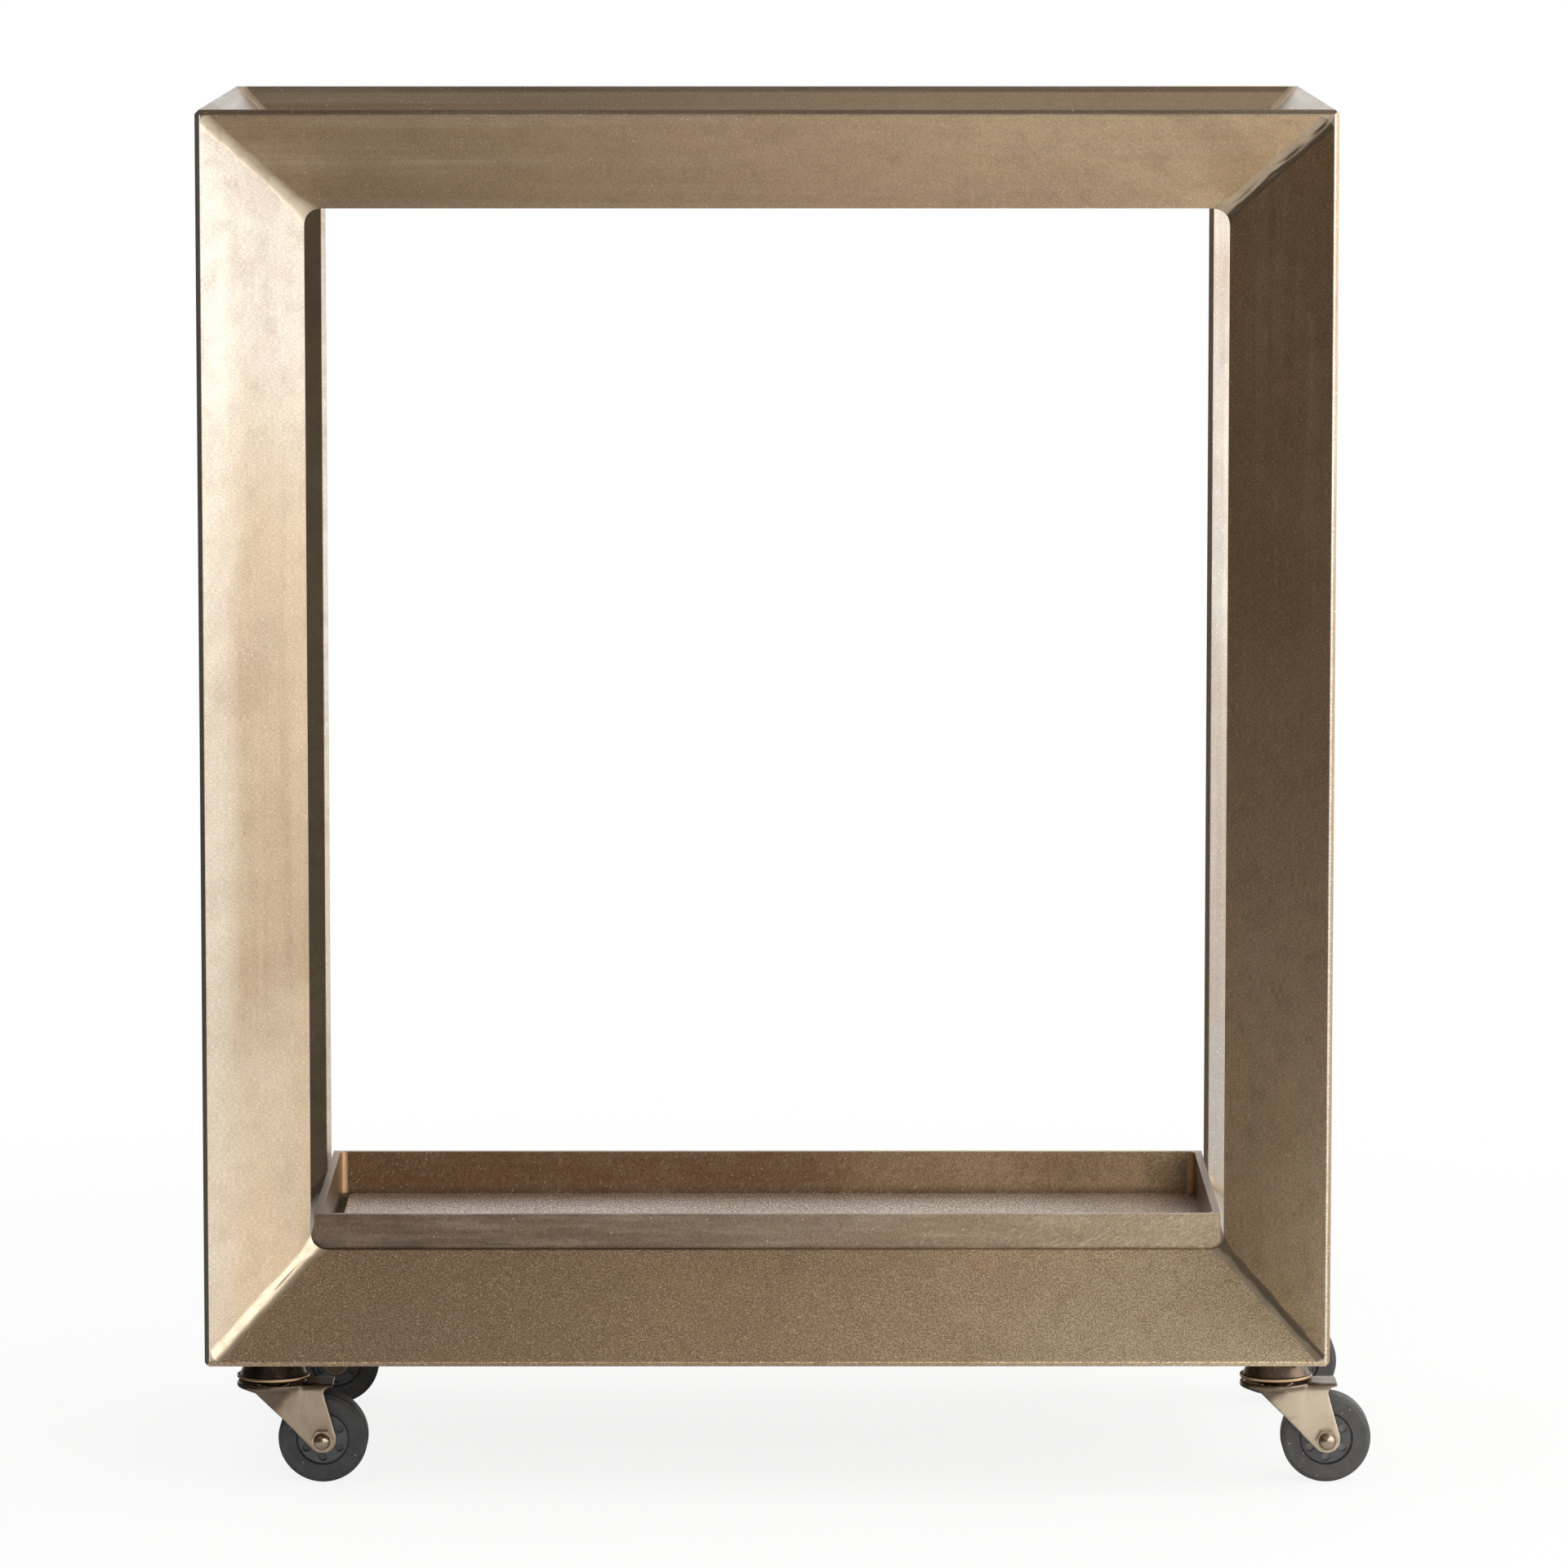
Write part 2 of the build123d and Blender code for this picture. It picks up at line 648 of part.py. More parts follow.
caster_pieces = {
    "caster_head": caster_head,
    "kingpin": caster_kingpin,
    "fork": caster_fork,
    "axle": caster_axle,
    "cap_nut": caster_cap_nut,
    "sleeve": caster_sleeve,
    "wheel_hub": wheel_hub,
    "tyre": wheel_tyre,
}
for corner in corners:
    for name, make in caster_pieces.items():
        save(make(corner), f"{corner}_{name}")
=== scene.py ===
"""Looks of a welded bar cart in antique bronze.

The script gives the plates, the tray and the casters their finishes, lays the weld beads, presses the forks
and sets up the studio around the cart.
"""

from typing import NamedTuple

import bmesh
import bpy
import numpy as np
from bpy.props import FloatProperty, FloatVectorProperty, IntProperty, PointerProperty
from mathutils import Euler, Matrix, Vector


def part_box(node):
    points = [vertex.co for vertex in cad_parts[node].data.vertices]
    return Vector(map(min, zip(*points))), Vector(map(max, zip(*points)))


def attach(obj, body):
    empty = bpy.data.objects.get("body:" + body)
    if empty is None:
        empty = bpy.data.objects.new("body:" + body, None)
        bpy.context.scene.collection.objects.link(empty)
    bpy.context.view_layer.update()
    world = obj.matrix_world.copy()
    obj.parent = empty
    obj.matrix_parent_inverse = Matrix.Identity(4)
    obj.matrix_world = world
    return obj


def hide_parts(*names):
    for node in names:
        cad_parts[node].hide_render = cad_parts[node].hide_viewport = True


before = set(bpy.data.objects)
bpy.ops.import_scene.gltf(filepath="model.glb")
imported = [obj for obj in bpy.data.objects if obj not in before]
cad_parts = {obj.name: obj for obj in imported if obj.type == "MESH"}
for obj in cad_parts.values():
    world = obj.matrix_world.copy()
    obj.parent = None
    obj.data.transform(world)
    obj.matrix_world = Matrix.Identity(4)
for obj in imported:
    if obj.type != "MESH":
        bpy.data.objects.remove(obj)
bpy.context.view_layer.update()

bl_info = {
    "name": "Bar cart looks",
    "version": (1, 0, 0),
    "blender": (4, 5, 0),
    "location": "View3D > Sidebar > Bar cart",
    "description": "Finishes and fine detail of a welded bronze bar cart on swivel casters",
    "category": "Object",
}

CORNERS = {"front_left": (-1, -1), "front_right": (1, -1), "rear_left": (-1, 1), "rear_right": (1, 1)}
BOTTOM_RAILS = ("front_bottom_rail", "rear_bottom_rail")
END_RAILS = ("left_top_rail", "left_bottom_rail", "right_top_rail", "right_bottom_rail")
CART = "cart"
X, Y, Z = range(3)
# What every colour property has
COLOUR = {"subtype": "COLOR", "min": 0.0, "max": 1.0}
# Corners of a node's triangles that are nearer than this are one point
JOIN_DISTANCE = 1e-6


class CartFinish(bpy.types.PropertyGroup):
    """Colours of the metal, plastic and rubber."""

    bronze: FloatVectorProperty(
        name="Bronze", description="Main colour of the bronze finish",
        default=(0.630, 0.427, 0.257), **COLOUR,
    )
    rail: FloatVectorProperty(
        name="Rail bronze", description="Colour of the rails, lighter than the posts",
        default=(0.88, 0.69, 0.46), **COLOUR,
    )
    rail_low: FloatVectorProperty(
        name="Low rail bronze", description="Colour of the bottom rails",
        default=(0.79, 0.585, 0.385), **COLOUR,
    )
    bronze_dark: FloatVectorProperty(
        name="Dark bronze", description="Colour of the darker patina",
        default=(0.372, 0.262, 0.164), **COLOUR,
    )
    # Also painted light on the front left post and on the welds beside it
    bronze_light: FloatVectorProperty(
        name="Light bronze", description="Colour where the finish is rubbed bright",
        default=(0.80, 0.69, 0.53), **COLOUR,
    )
    gold: FloatVectorProperty(
        name="Gold", description="Colour where the finish is most golden",
        default=(0.95, 0.80, 0.55), **COLOUR,
    )
    spark: FloatVectorProperty(
        name="Spark", description="Colour of the bright specks in the finish",
        default=(1.0, 0.92, 0.76), **COLOUR,
    )
    copper: FloatVectorProperty(
        name="Copper", description="Warm colour that shows through on the tray",
        default=(0.30, 0.175, 0.092), **COLOUR,
    )
    taupe: FloatVectorProperty(
        name="Taupe", description="Greyish colour of the tray's floor",
        default=(0.68, 0.62, 0.57), **COLOUR,
    )
    # Used only for painted light and shade: on the tray, the rails' top edge, the forks' bowls and the heads
    umber: FloatVectorProperty(
        name="Umber", description="Colour of the darkest patina",
        default=(0.15, 0.108, 0.078), **COLOUR,
    )
    grime: FloatVectorProperty(
        name="Grime", description="Tint of the fine dark grains in the finish",
        default=(0.50, 0.455, 0.41), **COLOUR,
    )
    # The colour of the painted highlights on the front posts
    pale_highlight: FloatVectorProperty(
        name="Highlighted bronze", description="Colour of the palest rubbed places",
        default=(0.80, 0.76, 0.695), **COLOUR,
    )
    tray: FloatVectorProperty(
        name="Tray bronze", description="Colour of the tray's front bar",
        default=(0.52, 0.41, 0.28), **COLOUR,
    )
    # Painted light: the forks on the right are lighter than those on the left
    steel: FloatVectorProperty(
        name="Plated steel", description="Colour of the caster forks on the right",
        default=(0.66, 0.55, 0.415), **COLOUR,
    )
    # On the forks on the left this darker tone is painted shade
    steel_dark: FloatVectorProperty(
        name="Dark plated steel", description="Colour of the fasteners and of the forks on the left",
        default=(0.43, 0.34, 0.25), **COLOUR,
    )
    # Painted shade: the caster heads are near black as if in the cart's shadow
    head_shade: FloatVectorProperty(
        name="Shadowed", description="Colour of the blackened caster heads",
        default=(0.055, 0.046, 0.038), **COLOUR,
    )
    pewter: FloatVectorProperty(
        name="Pewter", description="Greyish colour of the end rails and the rear right post",
        default=(0.45, 0.412, 0.370), **COLOUR,
    )
    # Real dust on the tyres, hubs and tray floor, and also the colour of painted highlights on plate edges
    # and end rails and of painted light on the tyres and hubs on the right
    dust: FloatVectorProperty(
        name="Dust", description="Colour of the dust on the tyres and plates",
        default=(0.62, 0.58, 0.52), **COLOUR,
    )
    rubber: FloatVectorProperty(
        name="Rubber", description="Colour of the tyres",
        default=(0.036, 0.036, 0.038), **COLOUR,
    )
    hub: FloatVectorProperty(
        name="Hub plastic", description="Colour of the moulded wheel hubs",
        default=(0.070, 0.071, 0.075), **COLOUR,
    )


class CartWelds(bpy.types.PropertyGroup):
    """Sizes of the weld beads in the valleys at the frame's corners."""

    leg: FloatProperty(
        name="Bead leg", description="How far a bead reaches onto each plate", subtype="DISTANCE",
        default=0.0055, min=0.001, max=0.02,
    )
    length: FloatProperty(
        name="Bead length", description="Length of a valley between the plates' edges", subtype="DISTANCE",
        default=0.1115, min=0.01, max=1.0,
    )
    thickness: FloatProperty(
        name="Plate thickness", description="Thickness of the plates that the beads join", subtype="DISTANCE",
        default=0.005, min=0.001, max=0.02,
    )
    ragged: FloatProperty(
        name="Ragged edge", description="How far a bead's toes wander", subtype="DISTANCE",
        default=0.0006, min=0.0, max=0.005,
    )
    seed: IntProperty(name="Seed", description="Picks the pattern of the beads", default=7, min=0)


class CartStage(bpy.types.PropertyGroup):
    """The camera and the lights."""

    lens: FloatProperty(
        name="Lens", description="Focal length of the camera", unit="CAMERA", default=195.21, min=10.0,
    )
    camera_place: FloatVectorProperty(
        name="Camera", description="Where the camera stands", subtype="TRANSLATION",
        default=(0.0048, -5.7726, 1.1547),
    )
    camera_pitch: FloatProperty(
        name="Pitch", description="How far the camera looks down", subtype="ANGLE",
        default=np.radians(6.908),
    )
    camera_yaw: FloatProperty(
        name="Yaw", description="How far the camera turns to the left", subtype="ANGLE",
        default=np.radians(-0.0654),
    )
    key_power: FloatProperty(
        name="Key power", description="Power of the large lamp", unit="POWER", default=34.0,
    )
    fill_power: FloatProperty(
        name="Fill power", description="Power of the fill lamp", unit="POWER", default=14.0,
    )
    ambient: FloatProperty(
        name="Ambient", description="Strength of the room's own light", default=0.85, min=0.0,
    )


class Fade(NamedTuple):
    """A change of colour along an axis, from none of the tint at the start to an amount of it at the stop.

    waver is how far the fade's place moves to and fro with the clouds of the patina.
    """

    axis: int
    start: float
    stop: float
    tint: tuple
    amount: float
    waver: float = 0.06


def opaque(colour):
    """A colour property as four numbers."""
    return (*colour, 1.0)


class Shader:
    """A short way to write a node tree: each call adds nodes, feeds their inputs and returns an output."""

    def __init__(self, tree):
        self.tree = tree
        tree.nodes.clear()

    def node(self, kind, settings=None, **inputs):
        """A node with its settings and inputs by name. In an input's name an underscore is a space."""
        made = self.tree.nodes.new(kind)
        for key, value in (settings or {}).items():
            setattr(made, key, value)
        for key, value in inputs.items():
            self.feed(made.inputs[key.replace("_", " ")], value)
        return made

    def feed(self, socket, value):
        """Link a socket to another node's output, or set it to a fixed value."""
        if isinstance(value, bpy.types.NodeSocket):
            self.tree.links.new(value, socket)
        else:
            socket.default_value = value

    def math(self, operation, first, second=0.0, clamp=False):
        made = self.node("ShaderNodeMath", {"operation": operation, "use_clamp": clamp})
        self.feed(made.inputs[0], first)
        self.feed(made.inputs[1], second)
        return made.outputs[0]

    def ramp(self, value, low, high, to_low=0.0, to_high=1.0):
        """An S-curve from to_low, where the value is low, to to_high, where it is high."""
        made = self.node("ShaderNodeMapRange", {"interpolation_type": "SMOOTHSTEP"})
        for socket, number in zip(made.inputs, (value, low, high, to_low, to_high)):
            self.feed(socket, number)
        return made.outputs[0]

    def mix(self, factor, first, second, blend="MIX"):
        """Two colours blended. A sum stops at white."""
        settings = {"data_type": "RGBA", "blend_type": blend, "clamp_result": blend == "ADD"}
        return self.node("ShaderNodeMix", settings, Factor=factor, A=first, B=second).outputs["Result"]

    def tint(self, colour, tint, value, low, high, amount, blend="MIX"):
        """The colour, with up to an amount of the tint in it as the value goes from low to high."""
        return self.mix(self.ramp(value, low, high, 0.0, amount), colour, opaque(tint), blend)

    def patched(self, colour, tint, pattern, amount):
        """The colour, with an amount of the tint where the pattern is one and none where it is nought."""
        return self.mix(self.math("MULTIPLY", pattern, amount), colour, opaque(tint))

    def noise(self, vector, scale, detail, roughness, distortion=0.0):
        made = self.node(
            "ShaderNodeTexNoise", Vector=vector, Scale=scale, Detail=detail, Roughness=roughness,
            Distortion=distortion,
        )
        return made.outputs["Fac"]

    def place(self):
        return self.node("ShaderNodeTexCoord").outputs["Object"]

    def stretched(self, vector, scale, turn=None):
        """The place turned first and then stretched, so the turn tilts the stretched pattern."""
        if turn:
            vector = self.node("ShaderNodeMapping", Vector=vector, Rotation=turn).outputs["Vector"]
        return self.node("ShaderNodeMapping", Vector=vector, Scale=scale).outputs["Vector"]

    def along(self, vector, axis):
        return self.node("ShaderNodeSeparateXYZ", Vector=vector).outputs[axis]

    def rightwards(self, vector, to_left=0.0, to_right=1.0):
        """An S-curve from the casters on the left to those on the right."""
        return self.ramp(self.along(vector, X), -0.25, 0.25, to_left, to_right)

    def specks(self, vector, spacing, size, share):
        """Small round specks: a cell pattern whose cells hold a dot each, of which only a share are kept."""
        cells = self.node("ShaderNodeTexVoronoi", Vector=vector, Scale=1.0 / spacing)
        dot = self.ramp(cells.outputs["Distance"], size, size * 0.5)
        pick = self.node("ShaderNodeSeparateColor", Color=cells.outputs["Color"]).outputs["Red"]
        kept = self.math("LESS_THAN", pick, share)
        return self.math("MULTIPLY", dot, kept)

    def bump(self, height, distance, under=None):
        """The surface's direction with a height's bumps, laid over other bumps where these are given."""
        made = self.node("ShaderNodeBump", Height=height, Distance=distance, Strength=1.0)
        if under is not None:
            self.feed(made.inputs["Normal"], under)
        return made.outputs["Normal"]

    def seen(self):
        """Whether a ray comes from the camera, and whether it shows the studio in gloss or glass."""
        rays = self.node("ShaderNodeLightPath")
        gloss = self.math("MAXIMUM", rays.outputs["Is Glossy Ray"], rays.outputs["Is Transmission Ray"])
        return rays.outputs["Is Camera Ray"], gloss


def new_material(name):
    material = bpy.data.materials.new(name)
    material.use_nodes = True
    return material, Shader(material.node_tree)


def surface(shader, **inputs):
    """The principled surface and its output node."""
    principled = shader.node("ShaderNodeBsdfPrincipled", **inputs)
    shader.node("ShaderNodeOutputMaterial", Surface=principled.outputs["BSDF"])


def bronze(
    name, grain, base=None, streak=0.45, mottle=0.35, copper=0.0, specks=0.05, sparks=0.0, speck=None,
    sand=0.2, lay=(1.0, 1.0, 1.0), scratch=0.0, slant=0.4, scratched=(), roughness=0.40, fades=(),
):
    """Antique bronze on steel: cloudy patina, streaks along the grain, fine specks and rolled waviness.

    grain is the stretch of the streak pattern on each axis, so its small number lies along the brushing.
    streak, mottle and copper are how strong the streaks, the small clouds and the reddish patches are.
    specks and sparks are the shares of the fine and of the larger dots that show. sand is how strong the
    fine dark and bright grains are, and lay is their stretch. scratch is how strong the bright scratches
    are, slant how far they lean to the right, as an angle, and scratched where along X they start and where
    all of them show.
    """
    finish = bpy.context.scene.cart_finish
    material, shader = new_material(name)
    place = shader.place()
    clouds = shader.noise(place, 7.0, 5.0, 0.6, 0.4)
    mottles = shader.noise(place, 60.0, 5.0, 0.62, 0.2)
    streaks = shader.noise(shader.stretched(place, grain), 1.0, 6.0, 0.62)
    fine = shader.noise(shader.stretched(place, tuple(9.0 * stretch for stretch in grain)), 1.0, 3.0, 0.6)
    grit = shader.noise(shader.stretched(place, lay), 1050.0, 2.0, 0.6)
    colour = shader.tint(opaque(base or finish.bronze), finish.bronze_dark, clouds, 0.35, 0.70, 0.45)
    for fade in fades:
        waver = shader.ramp(clouds, 0.3, 0.7, -fade.waver, fade.waver)
        edge = shader.math("ADD", shader.along(place, fade.axis), waver)
        colour = shader.tint(colour, fade.tint, edge, fade.start, fade.stop, fade.amount)
    colour = shader.tint(colour, finish.bronze_light, streaks, 0.42, 0.78, streak)
    colour = shader.tint(colour, finish.bronze_dark, mottles, 0.40, 0.85, mottle)
    if copper > 0:
        patches = shader.ramp(shader.noise(place, 16.0, 4.0, 0.6, 1.2), 0.38, 0.72, 0.3 * copper, copper)
        colour = shader.mix(patches, colour, opaque(finish.copper))
    colour = shader.tint(colour, finish.grime, grit, 0.46, 0.60, sand, "MULTIPLY")
    colour = shader.mix(shader.ramp(grit, 0.50, 0.38, 0.0, 0.5 * sand), colour, colour, "ADD")
    if scratch > 0:
        slanted = shader.stretched(place, (900.0, 300.0, 150.0), (0.0, -slant, 0.0))
        lines = shader.ramp(shader.noise(slanted, 1.0, 3.0, 0.6, 0.4), 0.56, 0.72, 0.0, scratch)
        if scratched:
            lines = shader.math("MULTIPLY", lines, shader.ramp(shader.along(place, X), *scratched))
        colour = shader.mix(lines, colour, opaque(finish.gold))
    dots = shader.specks(place, 0.0014, 0.36, specks)
    if sparks > 0:
        dots = shader.math("MAXIMUM", dots, shader.specks(place, 0.0040, 0.17, sparks))
    colour = shader.patched(colour, speck or finish.spark, dots, 0.9)
    rough = shader.math("ADD", shader.ramp(clouds, 0.3, 0.7, -0.04, 0.05), roughness)
    rough = shader.math("ADD", shader.ramp(streaks, 0.35, 0.75, 0.04, -0.06), rough)
    rough = shader.math("ADD", shader.ramp(mottles, 0.4, 0.8, -0.02, 0.05), rough, clamp=True)
    normal = shader.bump(shader.noise(place, 14.0, 2.0, 0.5), 0.0012)
    normal = shader.bump(streaks, 0.00010, normal)
    normal = shader.bump(fine, 0.00003, normal)
    normal = shader.bump(grit, 0.00016 * sand, normal)
    surface(
        shader, Base_Color=colour, Metallic=1.0, Roughness=rough, Normal=normal,
        Coat_Weight=0.15, Coat_Roughness=0.35,
    )
    return material


def weld_metal(name, tone=None):
    """Weld metal ground smooth: a tone between the plates beside it, which carries their painted light and
    shade, with brown burns and rubbed places.

    The tone runs from the dark bronze to the light one, and comes from the attribute where one is named.
    """
    finish = bpy.context.scene.cart_finish
    material, shader = new_material(name)
    place = shader.place()
    burn = shader.noise(place, 60.0, 5.0, 0.65, 0.8)
    fine = shader.noise(place, 700.0, 3.0, 0.6)
    colour = opaque(finish.bronze)
    if tone:
        shade = shader.node("ShaderNodeAttribute", {"attribute_name": tone}).outputs["Fac"]
        colour = shader.mix(shade, opaque(finish.bronze_dark), opaque(finish.bronze_light))
    colour = shader.tint(colour, finish.bronze_dark, burn, 0.45, 0.78, 0.5)
    colour = shader.tint(colour, finish.bronze_light, burn, 0.42, 0.22, 0.35)
    rough = shader.ramp(burn, 0.3, 0.75, 0.29, 0.40)
    normal = shader.bump(burn, 0.00025)
    normal = shader.bump(fine, 0.00003, normal)
    surface(shader, Base_Color=colour, Metallic=1.0, Roughness=rough, Normal=normal)
    return material


def plated_steel(name, colour, roughness, right=None, lip=None, crown=None):
    """Plated pressed steel: a soft cloudy tone, faint rubbing marks and a fine orange-peel surface.

    right is the colour at the cart's right side: painted light that makes those casters lighter. lip is a
    height under which a painted highlight lies on the rim. crown is a point at the foot of a caster's bowl:
    painted shade darkens the plating above it and ahead of a slanting line through it.
    """
    finish = bpy.context.scene.cart_finish
    material, shader = new_material(name)
    place = shader.place()
    clouds = shader.noise(place, 60.0, 5.0, 0.6, 0.6)
    rub = shader.noise(shader.stretched(place, (500.0, 500.0, 60.0)), 1.0, 4.0, 0.6)
    peel = shader.noise(place, 900.0, 2.0, 0.5)
    tone = opaque(colour)
    # Painted light on the casters at the cart's right
    if right:
        tone = shader.mix(shader.rightwards(place), tone, opaque(right))
    tone = shader.tint(tone, finish.bronze_dark, clouds, 0.42, 0.76, 0.35)
    tone = shader.tint(tone, finish.bronze_light, rub, 0.52, 0.80, 0.3)
    # Painted shade on the bowl's leading side and on the hood above it
    if crown:
        slant = shader.node(
            "ShaderNodeMapping", {"vector_type": "TEXTURE"}, Vector=place, Location=crown,
            Rotation=(0.0, 0.7, 0.0),
        )
        waver = shader.ramp(clouds, 0.3, 0.7, -0.002, 0.002)
        behind = shader.math("ADD", shader.along(slant.outputs["Vector"], X), waver)
        over = shader.ramp(shader.along(place, Z), crown[Z] - 0.0005, crown[Z] + 0.0025)
        dark = shader.math("MAXIMUM", over, shader.ramp(behind, 0.003, -0.004))
        tone = shader.patched(tone, finish.umber, dark, 0.88)
    # A painted highlight on the rim below the lip
    if lip:
        rubbed = shader.ramp(shader.along(place, Z), lip + 0.0002, lip - 0.0002)
        tone = shader.mix(rubbed, tone, opaque(finish.bronze))
    rough = shader.math("ADD", shader.ramp(clouds, 0.3, 0.75, -0.05, 0.10), roughness, clamp=True)
    normal = shader.bump(shader.noise(place, 90.0, 2.0, 0.5), 0.0002)
    normal = shader.bump(peel, 0.00002, normal)
    surface(shader, Base_Color=tone, Metallic=1.0, Roughness=rough, Normal=normal)
    return material


def tyre_rubber():
    """Grey rubber with cloudy bloom, moulding grain, floor dust and small pale specks."""
    finish = bpy.context.scene.cart_finish
    material, shader = new_material("tyre_rubber")
    place = shader.place()
    bloom = shader.noise(place, 90.0, 5.0, 0.6, 0.5)
    grain = shader.noise(place, 1800.0, 3.0, 0.6)
    dust = shader.noise(place, 340.0, 6.0, 0.7, 0.6)
    specks = shader.specks(place, 0.0022, 0.26, 0.06)
    flecks = shader.specks(shader.stretched(place, (1.0, 1.0, 2.2)), 0.0070, 0.14, 0.22)
    # Painted light: the tyres on the cart's right are a little paler
    colour = shader.mix(shader.rightwards(place, 0.0, 0.05), opaque(finish.rubber), opaque(finish.dust))
    colour = shader.tint(colour, finish.dust, bloom, 0.35, 0.75, 0.05)
    colour = shader.tint(colour, finish.dust, dust, 0.62, 0.80, 0.18)
    colour = shader.patched(colour, finish.dust, specks, 0.65)
    colour = shader.patched(colour, finish.dust, flecks, 0.55)
    rough = shader.ramp(bloom, 0.3, 0.75, 0.50, 0.70)
    normal = shader.bump(grain, 0.00006)
    surface(shader, Base_Color=colour, Roughness=rough, Normal=normal)
    return material


def hub_plastic(middle, floor):
    """Dark moulded plastic with a satin skin and flow marks, and painted light on the pockets' floors.

    middle is how far the wheels' middles lie from the cart's middle, and floor how far the pockets' floors
    lie from there.
    """
    finish = bpy.context.scene.cart_finish
    material, shader = new_material("hub_plastic")
    place = shader.place()
    flow = shader.noise(place, 160.0, 4.0, 0.6, 1.0)
    grain = shader.noise(place, 2600.0, 2.0, 0.6)
    specks = shader.specks(place, 0.0036, 0.14, 0.07)
    colour = shader.tint(opaque(finish.hub), finish.dust, flow, 0.40, 0.80, 0.07)
    colour = shader.patched(colour, finish.dust, specks, 0.35)
    # Painted light on the pockets' floors, stronger on the casters on the right
    inwards = shader.math("SUBTRACT", shader.math("ABSOLUTE", shader.along(place, Y)), middle)
    low = shader.ramp(shader.math("ABSOLUTE", inwards), floor + 0.0012, floor + 0.0004)
    colour = shader.patched(colour, finish.dust, low, shader.rightwards(place, 0.20, 0.75))
    rough = shader.ramp(flow, 0.3, 0.75, 0.30, 0.42)
    normal = shader.bump(grain, 0.00003)
    surface(shader, Base_Color=colour, Roughness=rough, Normal=normal)
    return material


def bearing_steel():
    """Polished balls with a film of grease."""
    material, shader = new_material("bearing_steel")
    film = shader.noise(shader.place(), 400.0, 4.0, 0.6)
    steel = (0.62, 0.62, 0.61)
    grease = (0.42, 0.38, 0.30)
    colour = shader.tint(opaque(steel), grease, film, 0.4, 0.7, 1.0)
    surface(shader, Base_Color=colour, Metallic=1.0, Roughness=shader.ramp(film, 0.3, 0.7, 0.12, 0.34))
    return material


def dress(node, material):
    """Put one material on a node of the frame."""
    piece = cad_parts[node]
    piece.data.materials.clear()
    piece.data.materials.append(material)
    return piece


def soften(piece, width):
    """Join a node's loose triangles and round its sharp edges with live modifiers."""
    weld = piece.modifiers.new("join", "WELD")
    weld.merge_threshold = JOIN_DISTANCE
    bevel = piece.modifiers.new("round", "BEVEL")
    bevel.width = width
    bevel.segments = 2
    bevel.limit_method = "ANGLE"
    bevel.angle_limit = np.radians(40.0)
    bevel.harden_normals = True


def press(piece, grid, passes):
    """Give sheet metal the soft edges of a pressing with live modifiers.

    The first draws all its shells together as an even grid of faces, and the second smooths that.
    """
    remesh = piece.modifiers.new("grid", "REMESH")
    remesh.mode = "VOXEL"
    remesh.voxel_size = grid
    remesh.use_smooth_shade = True
    smooth = piece.modifiers.new("smooth", "SMOOTH")
    smooth.factor = 0.5
    smooth.iterations = passes


def merged(node):
    """The points and triangles of a node, with its loose triangles joined."""
    shape = bmesh.new()
    shape.from_mesh(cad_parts[node].data)
    bmesh.ops.remove_doubles(shape, verts=shape.verts, dist=JOIN_DISTANCE)
    points = np.array([vertex.co for vertex in shape.verts])
    faces = [[corner.index for corner in face.verts] for face in shape.faces]
    shape.free()
    return points, faces


def smooth_wander(seed, count, waves):
    """A seeded curve of smooth random bumps along 0 to 1: a sum of cosines with falling heights."""
    rng = np.random.default_rng(seed)
    along = np.linspace(0.0, 1.0, count)
    order = np.arange(1, waves + 1)
    phase = rng.uniform(0.0, 2.0 * np.pi, waves)
    height = rng.normal(0.0, 1.0, waves) / np.sqrt(order)
    curve = (height[:, None] * np.cos(np.pi * order[:, None] * along + phase[:, None])).sum(0)
    return curve / np.sqrt((height**2).sum() / 2.0)


def smooth_step(value, low, high):
    """An S-curve from 0 at low to 1 at high."""
    t = np.clip((value - low) / (high - low), 0.0, 1.0)
    return t * t * (3.0 - 2.0 * t)


def mesh_piece(name, points, faces, material):
    """A new object at the origin from an array of points and a list of faces, shaded smooth."""
    mesh = bpy.data.meshes.new(name)
    mesh.from_pydata(points.reshape(-1, 3).tolist(), [], faces)
    mesh.materials.append(material)
    mesh.shade_smooth()
    mesh.update()
    piece = bpy.data.objects.new(name, mesh)
    bpy.context.scene.collection.objects.link(piece)
    return piece


def tube_faces(rings, around):
    """Quads of an open tube of rings: each ring joins the next."""
    ring, step = np.meshgrid(np.arange(rings - 1), np.arange(around), indexing="ij")
    here = ring * around + step
    beside = ring * around + (step + 1) % around
    return np.stack([here, beside, beside + around, here + around], axis=-1).reshape(-1, 4)


def frame_lines():
    """How far the middles of the plates' outer edges lie from the origin, read from the plates' boxes."""
    reach_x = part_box("front_top_rail")[1].x
    reach_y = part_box("left_top_rail")[1].y
    low, high = (corner.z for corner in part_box("front_left_post"))
    return reach_x, reach_y, low, high


def studio_world(ambient):
    """The room: white where it is seen, directly or in gloss, and a weaker even light for everything else."""
    world = bpy.data.worlds.new("studio")
    bpy.context.scene.world = world
    world.use_nodes = True
    shader = Shader(world.node_tree)
    seen = shader.math("MAXIMUM", *shader.seen())
    strength = shader.ramp(seen, 0.0, 1.0, ambient, 1.0)
    room = shader.node("ShaderNodeBackground", Color=(1.0, 1.0, 1.0, 1.0), Strength=strength)
    shader.node("ShaderNodeOutputWorld", Surface=room.outputs["Background"])


